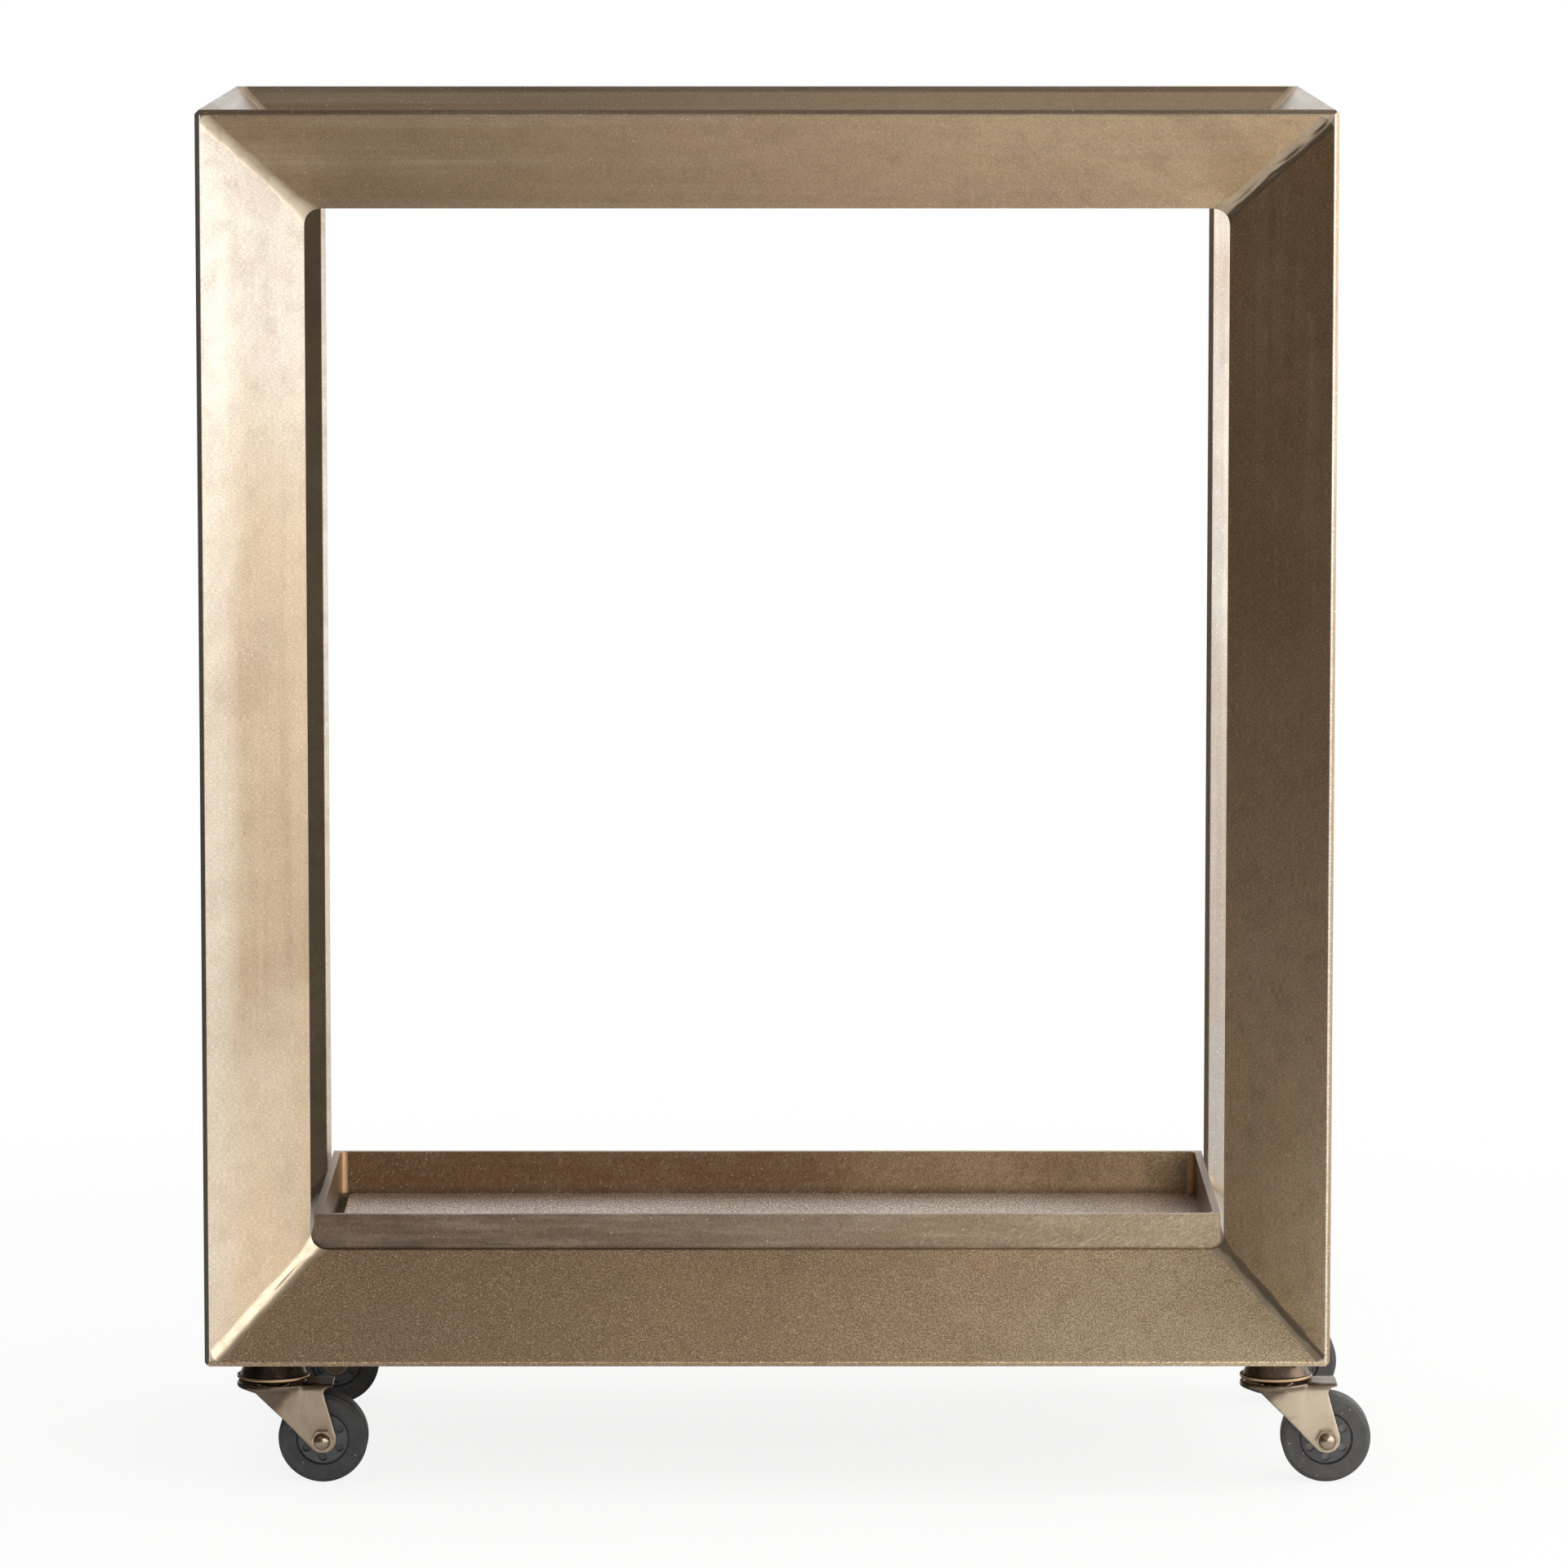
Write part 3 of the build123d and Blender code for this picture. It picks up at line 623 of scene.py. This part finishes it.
class CART_OT_stage(bpy.types.Operator):
    """Set up the camera, the lamps, the floor and the room"""

    bl_idname = "cart.stage"
    bl_label = "Stage"

    VIEW_END = 200.0
    FLOOR_REACH = 90.0
    # Each lamp's place, the point that it faces, and its width and height
    LAMPS = {
        "key": ((2.3, -0.55, 1.45), (0.0, -0.15, 0.75), (2.6, 2.4)),
        "fill": ((1.7, -2.8, 1.9), (0.1, 0.0, 0.5), (1.2, 1.6)),
    }
    # Each card's middle, the axes that its sides lie along, their lengths and its brightness
    CARDS = {
        "left_card": ((-1.9, -0.4, 1.4), (Y, Z), (4.6, 2.9), 0.09),
        "floor_card": ((-1.2, -0.3, 0.002), (X, Y), (1.5, 3.6), 0.09),
        # The card under the cart is a painted shadow: a dark sheet that the metal mirrors where the floor
        # lies in the cart's shadow
        "under_card": ((-0.05, 0.06, 0.002), (X, Y), (0.8, 0.36), 0.10),
        "top_card": ((-0.6, -0.9, 3.0), (X, Y), (4.0, 4.2), 0.30),
        "front_card": ((-1.7, -3.4, 1.5), (X, Z), (3.4, 3.2), 0.14),
    }

    def execute(self, context):
        scene = context.scene
        stage = scene.cart_stage
        scene.view_settings.view_transform = "Standard"
        camera = bpy.data.objects.new("camera", bpy.data.cameras.new("camera"))
        camera.data.lens = stage.lens
        camera.data.clip_end = self.VIEW_END
        camera.location = stage.camera_place
        camera.rotation_euler = Euler((np.pi / 2 - stage.camera_pitch, 0.0, stage.camera_yaw))
        scene.collection.objects.link(camera)
        scene.camera = camera
        studio_world(stage.ambient)
        powers = {"key": stage.key_power, "fill": stage.fill_power}
        for name, shape in self.LAMPS.items():
            self.lamp(name, *shape, powers[name])
        self.floor()
        for name, shape in self.CARDS.items():
            self.card(name, *shape)
        return {"FINISHED"}

    def lamp(self, name, place, target, size, power):
        lamp = bpy.data.lights.new(name, "AREA")
        lamp.shape = "RECTANGLE"
        lamp.size, lamp.size_y = size
        lamp.energy = power
        holder = bpy.data.objects.new(name, lamp)
        holder.location = place
        aim = Vector(target) - Vector(place)
        holder.rotation_euler = aim.to_track_quat("-Z", "Y").to_euler()
        bpy.context.scene.collection.objects.link(holder)

    def floor(self):
        """A wide pale floor: white with the cart's shadow where it is seen, and dim in gloss near it."""
        material, shader = new_material("floor_white")
        length = shader.node("ShaderNodeVectorMath", {"operation": "LENGTH"}, Vector=shader.place())
        distance = length.outputs["Value"]
        camera, gloss = shader.seen()
        far = shader.math("MULTIPLY", camera, shader.ramp(distance, 0.6, 1.8, 0.86, 1.0))
        mirrored = shader.math("MULTIPLY", gloss, shader.ramp(distance, 0.45, 1.3))
        paint = shader.node("ShaderNodeBsdfDiffuse", Color=(0.86, 0.86, 0.86, 1.0))
        white = shader.node("ShaderNodeEmission", Color=(1.0, 1.0, 1.0, 1.0), Strength=1.0)
        both = shader.node("ShaderNodeMixShader", Fac=shader.math("MAXIMUM", far, mirrored))
        shader.feed(both.inputs[1], paint.outputs["BSDF"])
        shader.feed(both.inputs[2], white.outputs["Emission"])
        shader.node("ShaderNodeOutputMaterial", Surface=both.outputs["Shader"])
        corners = self.FLOOR_REACH * np.array([(-1, -1, 0), (1, -1, 0), (1, 1, 0), (-1, 1, 0)])
        mesh_piece("floor", corners, [[0, 1, 2, 3]], material)

    def card(self, name, centre, axes, size, tone):
        """A grey card beside the lamps that only the metal's gloss shows."""
        material, shader = new_material(name)
        grey = shader.node("ShaderNodeEmission", Color=(1.0, 0.97, 0.93, 1.0), Strength=tone)
        shader.node("ShaderNodeOutputMaterial", Surface=grey.outputs["Emission"])
        middle = np.array(centre)
        u, v = np.eye(3)[list(axes)] * np.array(size)[:, None] / 2
        corners = np.array([middle - u - v, middle + u - v, middle + u + v, middle - u + v])
        card = mesh_piece(name, corners, [[0, 1, 2, 3]], material)
        card.visible_camera = False
        card.visible_diffuse = False
        card.visible_shadow = False


class CART_OT_frame(bpy.types.Operator):
    """Finish the plates of the box frame and the caster gussets"""

    bl_idname = "cart.frame"
    bl_label = "Frame plates"

    # Stretch of the brushing on the rear posts, the long rails at the top and the end rails
    POST_GRAIN = (60.0, 60.0, 1.6)
    LONG_GRAIN = (2.2, 70.0, 70.0)
    END_GRAIN = (70.0, 2.2, 70.0)
    # Stretch of the fine grains on the front posts
    POST_LAY = (0.4, 0.4, 1.3)

    def posts(self, finish):
        """The finish of each post. At the front the left one is painted pale as lit and the right one dark as
        shaded.
        """
        # Painted light on the front left post: paler at the top, lighter towards the bottom and paler at its
        # outer edge
        bright = [
            Fade(Z, 0.52, 0.84, finish.pale_highlight, 0.62),
            Fade(Z, 0.45, 0.12, finish.bronze_light, 0.70),
            Fade(X, -0.345, -0.368, finish.pale_highlight, 0.4, 0.004),
        ]
        # Painted shade on the front right post, lighter towards the bottom, with a painted highlight and a
        # painted shade line at its outer edge
        dark = [
            Fade(Z, 0.75, 0.15, finish.rail, 0.85),
            Fade(X, 0.3706, 0.3712, finish.pale_highlight, 0.7, 0.0),
            Fade(X, 0.3718, 0.3732, finish.bronze_dark, 0.95, 0.0),
        ]
        # A painted highlight along the rear left post's inner edge
        painted_highlight = [Fade(X, -0.3105, -0.3092, finish.dust, 0.85, 0.0)]
        return {
            "front_left": bronze(
                "bright_post_bronze", (40.0, 40.0, 1.6), base=finish.tray, streak=0.25, mottle=0.25,
                specks=0.01, sand=0.22, lay=self.POST_LAY, fades=bright,
            ),
            "front_right": bronze(
                "dark_post_bronze", (50.0, 50.0, 2.0), mottle=0.45, specks=0.08, sparks=0.15, sand=0.35,
                lay=self.POST_LAY, fades=dark,
            ),
            "rear_left": bronze(
                "brown_post_bronze", self.POST_GRAIN, base=finish.rail, streak=0.3, fades=painted_highlight,
            ),
            "rear_right": bronze(
                "post_bronze", self.POST_GRAIN, base=finish.pewter, streak=0.3, mottle=0.15,
            ),
        }

    def rails(self, finish):
        """The finish of each rail. The long ones get painted shade to the left; those at the ends are
        greyish.
        """
        # Painted shade along the top rails' top edge and towards the left on all long rails, and painted
        # golden light towards the right on the bottom ones
        brim = Fade(Z, 0.9188, 0.9208, finish.umber, 0.65, 0.0)
        front = [Fade(X, 0.45, -0.40, finish.bronze_dark, 0.75), brim]
        rear = [
            Fade(X, 0.45, -0.40, finish.bronze_dark, 0.90),
            Fade(X, 0.0, 0.30, finish.bronze, 0.60),
            brim,
        ]
        low = [
            Fade(X, 0.30, -0.42, finish.bronze_dark, 0.72),
            Fade(X, 0.0, 0.35, finish.gold, 0.6),
        ]
        # A painted highlight on the end rails at the cart's right
        painted_highlight = [Fade(X, 0.28, 0.34, finish.dust, 0.7, 0.0)]
        top = {"base": finish.rail, "specks": 0.03, "sparks": 0.05, "sand": 0.28}
        rails = {
            "front_top_rail": bronze("top_rail_bronze", self.LONG_GRAIN, fades=front, **top),
            "rear_top_rail": bronze("rear_top_rail_bronze", self.LONG_GRAIN, fades=rear, **top),
        }
        bottom = bronze(
            "bottom_rail_bronze", (5.0, 9.0, 9.0), base=finish.rail_low, streak=0.15, mottle=0.45,
            specks=0.22, sparks=0.5, sand=0.75, fades=low,
        )
        ends = bronze("end_rail_bronze", self.END_GRAIN, base=finish.pewter, specks=0.06, fades=painted_highlight)
        rails.update(dict.fromkeys(BOTTOM_RAILS, bottom))
        rails.update(dict.fromkeys(END_RAILS, ends))
        return rails

    def execute(self, context):
        finish = context.scene.cart_finish
        posts = self.posts(finish)
        rails = self.rails(finish)
        greyish = rails[END_RAILS[0]]
        for corner, metal in posts.items():
            dress(f"{corner}_post", metal)
            dress(f"{corner}_gusset", greyish)
        for rail, metal in rails.items():
            dress(rail, metal)
        return {"FINISHED"}


class CART_OT_welds(bpy.types.Operator):
    """Lay the hand-made weld beads in the valleys of the frame's corners"""

    bl_idname = "cart.welds"
    bl_label = "Weld beads"

    # Rings along a bead, points across it, and how far the seeds of two beads are apart
    RINGS = 150
    ACROSS = 17
    SEED_STEP = 11
    # How far a bead starts behind the plates' edges, and how deep its toes and its root lie
    SET_BACK = 0.0006
    SUNK = 0.00004
    ROOT_DEPTH = 0.0004
    # Where along a bead its inner end begins, and how much the toes spread and the crown sinks there
    END_START = 0.88
    END_SPREAD = 0.45
    END_HOLLOW = 0.24
    # Bumps in the line of the toes, of the crown and of the ridges, and how far the crown and the ridges move
    TOE_WAVES = 14
    CROWN_WAVES = 9
    RIDGE_WAVES = 5
    CROWN_WANDER = 0.03
    RIDGE_WANDER = 0.25
    # Ridges from the middle of a bead to a toe
    RIDGES = 1.5
    SHARP_ANGLE = np.radians(50.0)
    TONE = "tone"
    # The beads at the front: leg as a share of the usual one, crown over the chord between the toes and
    # height of the lengthwise ridges as shares of the leg, how ragged the toes are, and the tones beside the
    # post and the rail, which are painted light and shade: light by the pale left post, dark by the right one
    FRONT = {
        (-1, 1): (1.20, -0.245, 0.0, 0.4, 0.95, 0.25),
        (1, 1): (1.25, -0.14, 0.013, 0.5, 0.20, 0.42),
        (-1, -1): (1.20, -0.20, 0.0, 0.4, 0.65, 0.35),
        (1, -1): (1.00, -0.22, 0.0, 0.5, 0.40, 0.60),
    }
    OTHERS = (1.0, -0.10, 0.010, 0.6, 0.20, 0.20)

    def bead(self, signs, facing, seed, welds):
        """One bead in a valley where two plates meet at 120 degrees.

        The grid runs along the valley and across it. Across, a point moves from one toe to the other on a
        parabola over the straight line between the toes, with a cosine for the lengthwise ridges. Along,
        smooth seeded curves move the toes and the crown. At the inner end the crown sinks to a hollow and
        the toes spread, which rounds the corner of the opening. Each ring leans by the root of two times its
        rise, so the ends lie flush with the plates' edges. The last column lies at the valley's root. The
        tone runs evenly from the post's toe to the rail's.
        """
        reach_x, reach_y, low, high = frame_lines()
        sign = np.array(signs, float)
        corner = np.array([sign[X] * reach_x, sign[Y] * reach_y, high if signs[Z] > 0 else low])
        run = -sign / np.sqrt(3.0)
        outward = np.zeros(3)
        outward[facing] = sign[facing]
        outward = outward + run / np.sqrt(3.0)
        outward /= np.linalg.norm(outward)
        aside = np.cross(run, outward)
        root = corner + outward * welds.thickness / np.sqrt(3.0)
        start = welds.thickness / np.sqrt(24.0) + self.SET_BACK
        front = facing == Y and signs[Y] < 0
        style = self.FRONT[signs[X], signs[Z]] if front else self.OTHERS
        size, crown, ridge, ragged, by_post, by_rail = style
        count = self.RINGS
        along = np.linspace(0.0, 1.0, count)
        ends = smooth_step(along, self.END_START, 1.0)
        reach = size * welds.leg * (1.0 + self.END_SPREAD * ends)
        left = reach + ragged * welds.ragged * smooth_wander(seed, count, self.TOE_WAVES)
        right = reach + ragged * welds.ragged * smooth_wander(seed + 1, count, self.TOE_WAVES)
        middle = crown + self.CROWN_WANDER * ragged * smooth_wander(seed + 2, count, self.CROWN_WAVES)
        middle = reach * (middle * (1.0 - ends) - self.END_HOLLOW * ends)
        across = np.linspace(-1.0, 1.0, self.ACROSS)
        leg = np.where(across < 0, left[:, None], right[:, None])
        hump = 1.0 - across**2
        drift = self.RIDGE_WANDER * smooth_wander(seed + 3, count, self.RIDGE_WAVES)
        waves = np.cos(2.0 * np.pi * (self.RIDGES * across + drift[:, None]))
        ripple = (reach * ridge * (1.0 - ends))[:, None] * waves
        rise = 0.5 * leg + hump * (middle[:, None] + ripple) - self.SUNK
        side = leg * np.sqrt(3.0) / 2.0 * across
        travel = start + along[:, None] * welds.length + np.sqrt(2.0) * rise
        points = root + travel[..., None] * run + rise[..., None] * outward + side[..., None] * aside
        back = root - self.ROOT_DEPTH * outward + (start + along * welds.length)[:, None] * run
        to_post = 0.5 - 0.5 * across * np.sign(aside[Z] * signs[Z])
        tone = np.append(by_rail + (by_post - by_rail) * to_post, by_rail)
        return np.concatenate([points, back[:, None, :]], axis=1), np.tile(tone, (count, 1))

    def execute(self, context):
        welds = context.scene.cart_welds
        around = self.ACROSS + 1
        points, tones, faces = [], [], []
        seed = welds.seed
        for side_x, side_y in CORNERS.values():
            for side_z in (1, -1):
                for facing in (X, Y, Z):
                    faces.append(tube_faces(self.RINGS, around) + len(points) * self.RINGS * around)
                    place, tone = self.bead((side_x, side_y, side_z), facing, seed, welds)
                    points.append(place)
                    tones.append(tone)
                    seed += self.SEED_STEP
        metal = weld_metal("weld_bronze", self.TONE)
        piece = mesh_piece("corner_weld_beads", np.stack(points), np.concatenate(faces).tolist(), metal)
        shade = piece.data.attributes.new(self.TONE, "FLOAT", "POINT")
        shade.data.foreach_set("value", np.stack(tones).ravel())
        self.close(piece)
        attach(piece, CART)
        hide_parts("corner_welds")
        return {"FINISHED"}

    def close(self, piece):
        """Cap the beads' ends and turn every face outwards."""
        shape = bmesh.new()
        shape.from_mesh(piece.data)
        ends = [edge for edge in shape.edges if edge.is_boundary]
        bmesh.ops.holes_fill(shape, edges=ends, sides=0)
        bmesh.ops.recalc_face_normals(shape, faces=shape.faces)
        for face in shape.faces:
            face.smooth = True
        shape.to_mesh(piece.data)
        shape.free()
        piece.data.set_sharp_from_angle(angle=self.SHARP_ANGLE)


class CART_OT_shelf(bpy.types.Operator):
    """Finish the top shelf"""

    bl_idname = "cart.shelf"
    bl_label = "Top shelf"

    def execute(self, context):
        dress("top_shelf", bronze("shelf_bronze", (2.2, 60.0, 60.0), specks=0.12, roughness=0.44))
        return {"FINISHED"}


class CART_OT_tray(bpy.types.Operator):
    """Finish the tray's bars and floor"""

    bl_idname = "cart.tray"
    bl_label = "Tray"

    ROUNDING = 0.0006

    def execute(self, context):
        finish = context.scene.cart_finish
        # Painted shade: the front bar darkens to the left, the rear bar and the floor darken by the right
        # bar, and a painted contact shadow lies along the rear bar's foot
        darker = Fade(X, 0.48, -0.26, finish.umber, 0.95)
        redder = Fade(X, 0.31, -0.02, finish.copper, 0.95)
        shaded = Fade(X, 0.25, 0.325, finish.umber, 0.75, 0.01)
        contact_shadow = Fade(Z, 0.1570, 0.1505, finish.umber, 0.80, 0.0005)
        floor_shade = Fade(X, 0.08, 0.30, finish.umber, 0.3, 0.02)
        front = bronze(
            "tray_front_bronze", (14.0, 90.0, 160.0), base=finish.tray, streak=0.18, copper=0.15,
            specks=0.004, sand=0.35, scratch=0.35, slant=1.05, scratched=(-0.02, 0.22), roughness=0.38,
            fades=[darker],
        )
        rear = bronze(
            "tray_rear_bronze", (40.0, 90.0, 160.0), base=finish.rail, streak=0.22, mottle=0.7, copper=0.45,
            specks=0.04, sand=0.5, scratch=0.25, roughness=0.38, fades=[redder, shaded, contact_shadow],
        )
        # The end bars' dark umber is painted shade
        ends = bronze(
            "tray_end_bronze", (90.0, 3.0, 50.0), base=finish.umber, streak=0.2, roughness=0.36,
        )
        floor = bronze(
            "tray_floor_bronze", (8.0, 8.0, 8.0), base=finish.taupe, streak=0.1, mottle=0.25, specks=0.35,
            sparks=0.4, speck=finish.dust, sand=0.9, lay=(0.7, 0.25, 1.0), roughness=0.52,
            fades=[floor_shade, shaded],
        )
        bars = {"front": front, "rear": rear, "left": ends, "right": ends}
        for side, metal in bars.items():
            soften(dress(f"tray_{side}_bar", metal), self.ROUNDING)
        dress("tray_floor", floor)
        dress("tray_welds", weld_metal("tray_weld_bronze"))
        return {"FINISHED"}


class CART_OT_casters(bpy.types.Operator):
    """Finish the forks, heads, wheels and fasteners of the casters"""

    bl_idname = "cart.casters"
    bl_label = "Casters"

    # From the kingpin's line: the rim of the fork's bowl, a leg's outer face, a row inside the leg's plate
    # and the place where the rim's circle meets the leg
    RIM = 0.0245
    LEG = 0.016
    BURIED = 0.0145
    FOLD = 0.0186
    # Heights of the flare's foot and of the bowl above it
    FOOT = 0.040
    BROW = 0.0660
    # A point of a leg's sloping edge, behind the kingpin and above the floor, and the edge's slope
    EDGE_FOOT = (0.0266, 0.0233)
    EDGE_SLOPE = np.radians(46.0)
    # Rings up a flare and points across it, and the size of a pressed fork's faces and its smoothing passes
    CHEEK_GRID = (40, 28)
    PRESS_GRID = 0.0007
    PRESS_PASSES = 24
    # How far behind the kingpin the painted shade ends at the foot of a fork's bowl, on the cart's left and
    # on its right, and the height of that foot
    SHADE_REACH = {-1: 0.0140, 1: 0.0040}
    CROWN = 0.063
    # Height under which the heads' lip gets a painted highlight
    LIP = 0.0727
    # From the cart's middle to the wheels' middles, and from there to the floors of the hubs' pockets
    WHEELS = 0.138
    POCKET = 0.0055
    ROUNDING = {"caster_head": 0.0005, "cap_nut": 0.0004, "wheel_hub": 0.0005}

    def cheek(self, axis, side):
        """The outward flare of a leg below the bowl, as a closed tube of rings that climb the leg.

        Each ring's outer row lies between the flat leg and the circle of the bowl's rim: at each place along
        the leg, the distance from the leg to that circle times the square of the height's share between the
        flare's foot and the bowl. It starts at the leg's sloping edge and ends where the circle meets the
        leg. The inner row lies inside the leg's plate.
        """
        rings, across = self.CHEEK_GRID
        height = np.linspace(0.0, 1.0, rings)
        z = self.FOOT + (self.BROW - self.FOOT) * height
        edge = self.EDGE_FOOT[0] - (z - self.EDGE_FOOT[1]) / np.tan(self.EDGE_SLOPE)
        along = np.linspace(0.0, 1.0, across)
        x = edge[:, None] + (self.FOLD - edge)[:, None] * along
        circle = np.sqrt(np.clip(self.RIM**2 - x**2, self.LEG**2, None))
        out = self.LEG + (circle - self.LEG) * (height**2)[:, None]
        level = np.broadcast_to(z[:, None], x.shape)
        outer = np.stack([axis.x + x, axis.y + side * out, level], axis=-1)
        inner = np.stack([axis.x + x, np.full_like(x, axis.y + side * self.BURIED), level], axis=-1)
        return np.concatenate([outer, inner[:, ::-1]], axis=1)

    def fork(self, corner):
        """A pressed fork: the node's own shape with a flare on each leg, drawn together on one even grid."""
        finish = bpy.context.scene.cart_finish
        low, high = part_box(f"{corner}_caster_head")
        axis = (low + high) / 2
        crown = (axis.x + self.SHADE_REACH[CORNERS[corner][X]], axis.y, self.CROWN)
        metal = plated_steel(
            f"{corner}_fork_bronze", finish.steel_dark, 0.30, right=finish.steel, crown=crown,
        )
        rings, across = self.CHEEK_GRID
        around = 2 * across
        points, faces = merged(f"{corner}_fork")
        for side in (-1, 1):
            start = len(points)
            caps = np.arange(around) + np.array([[start], [start + (rings - 1) * around]])
            faces += (tube_faces(rings, around) + start).tolist() + caps.tolist()
            points = np.concatenate([points, self.cheek(axis, side).reshape(-1, 3)])
        piece = mesh_piece(f"{corner}_pressed_fork", points, faces, metal)
        press(piece, self.PRESS_GRID, self.PRESS_PASSES)
        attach(piece, f"{corner}_swivel")
        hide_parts(f"{corner}_fork")

    def execute(self, context):
        finish = context.scene.cart_finish
        dark = plated_steel("fastener_bronze", finish.steel_dark, 0.24)
        # Painted shade: the heads, bolts and nuts are near black, lighter on the right, with a painted
        # highlight on the heads' rim
        black = plated_steel("caster_head_bronze", finish.head_shade, 0.34, right=finish.umber, lip=self.LIP)
        finishes = {
            "caster_head": black,
            "cap_nut": dark,
            "kingpin": dark,
            "axle": dark,
            "sleeve": dark,
            "tyre": tyre_rubber(),
            "wheel_hub": hub_plastic(self.WHEELS, self.POCKET),
        }
        for corner in CORNERS:
            self.fork(corner)
            for name, material in finishes.items():
                piece = dress(f"{corner}_{name}", material)
                if name in self.ROUNDING:
                    soften(piece, self.ROUNDING[name])
        dress("caster_bolts", black)
        dress("caster_nuts", black)
        dress("swivel_balls", bearing_steel())
        return {"FINISHED"}


class CART_PT_looks(bpy.types.Panel):
    """Lists the steps and the settings of the bar cart's looks"""

    bl_idname = "CART_PT_looks"
    bl_label = "Bar cart"
    bl_space_type = "VIEW_3D"
    bl_region_type = "UI"
    bl_category = "Bar cart"

    def draw(self, context):
        for operator in OPERATORS:
            self.layout.operator(operator.bl_idname)
        for name in GROUPS:
            group = getattr(context.scene, name)
            box = self.layout.box()
            for setting in group.__annotations__:
                box.prop(group, setting)


GROUPS = {"cart_finish": CartFinish, "cart_welds": CartWelds, "cart_stage": CartStage}
OPERATORS = (CART_OT_stage, CART_OT_frame, CART_OT_welds, CART_OT_shelf, CART_OT_tray, CART_OT_casters)


def register():
    for kind in (*GROUPS.values(), *OPERATORS, CART_PT_looks):
        bpy.utils.register_class(kind)
    for name, group in GROUPS.items():
        setattr(bpy.types.Scene, name, PointerProperty(type=group))


def unregister():
    for name in GROUPS:
        delattr(bpy.types.Scene, name)
    for kind in (CART_PT_looks, *reversed(OPERATORS), *GROUPS.values()):
        bpy.utils.unregister_class(kind)


def main():
    register()
    for operator in OPERATORS:
        group, name = operator.bl_idname.split(".")
        getattr(getattr(bpy.ops, group), name)()


if __name__ == "__main__":
    main()
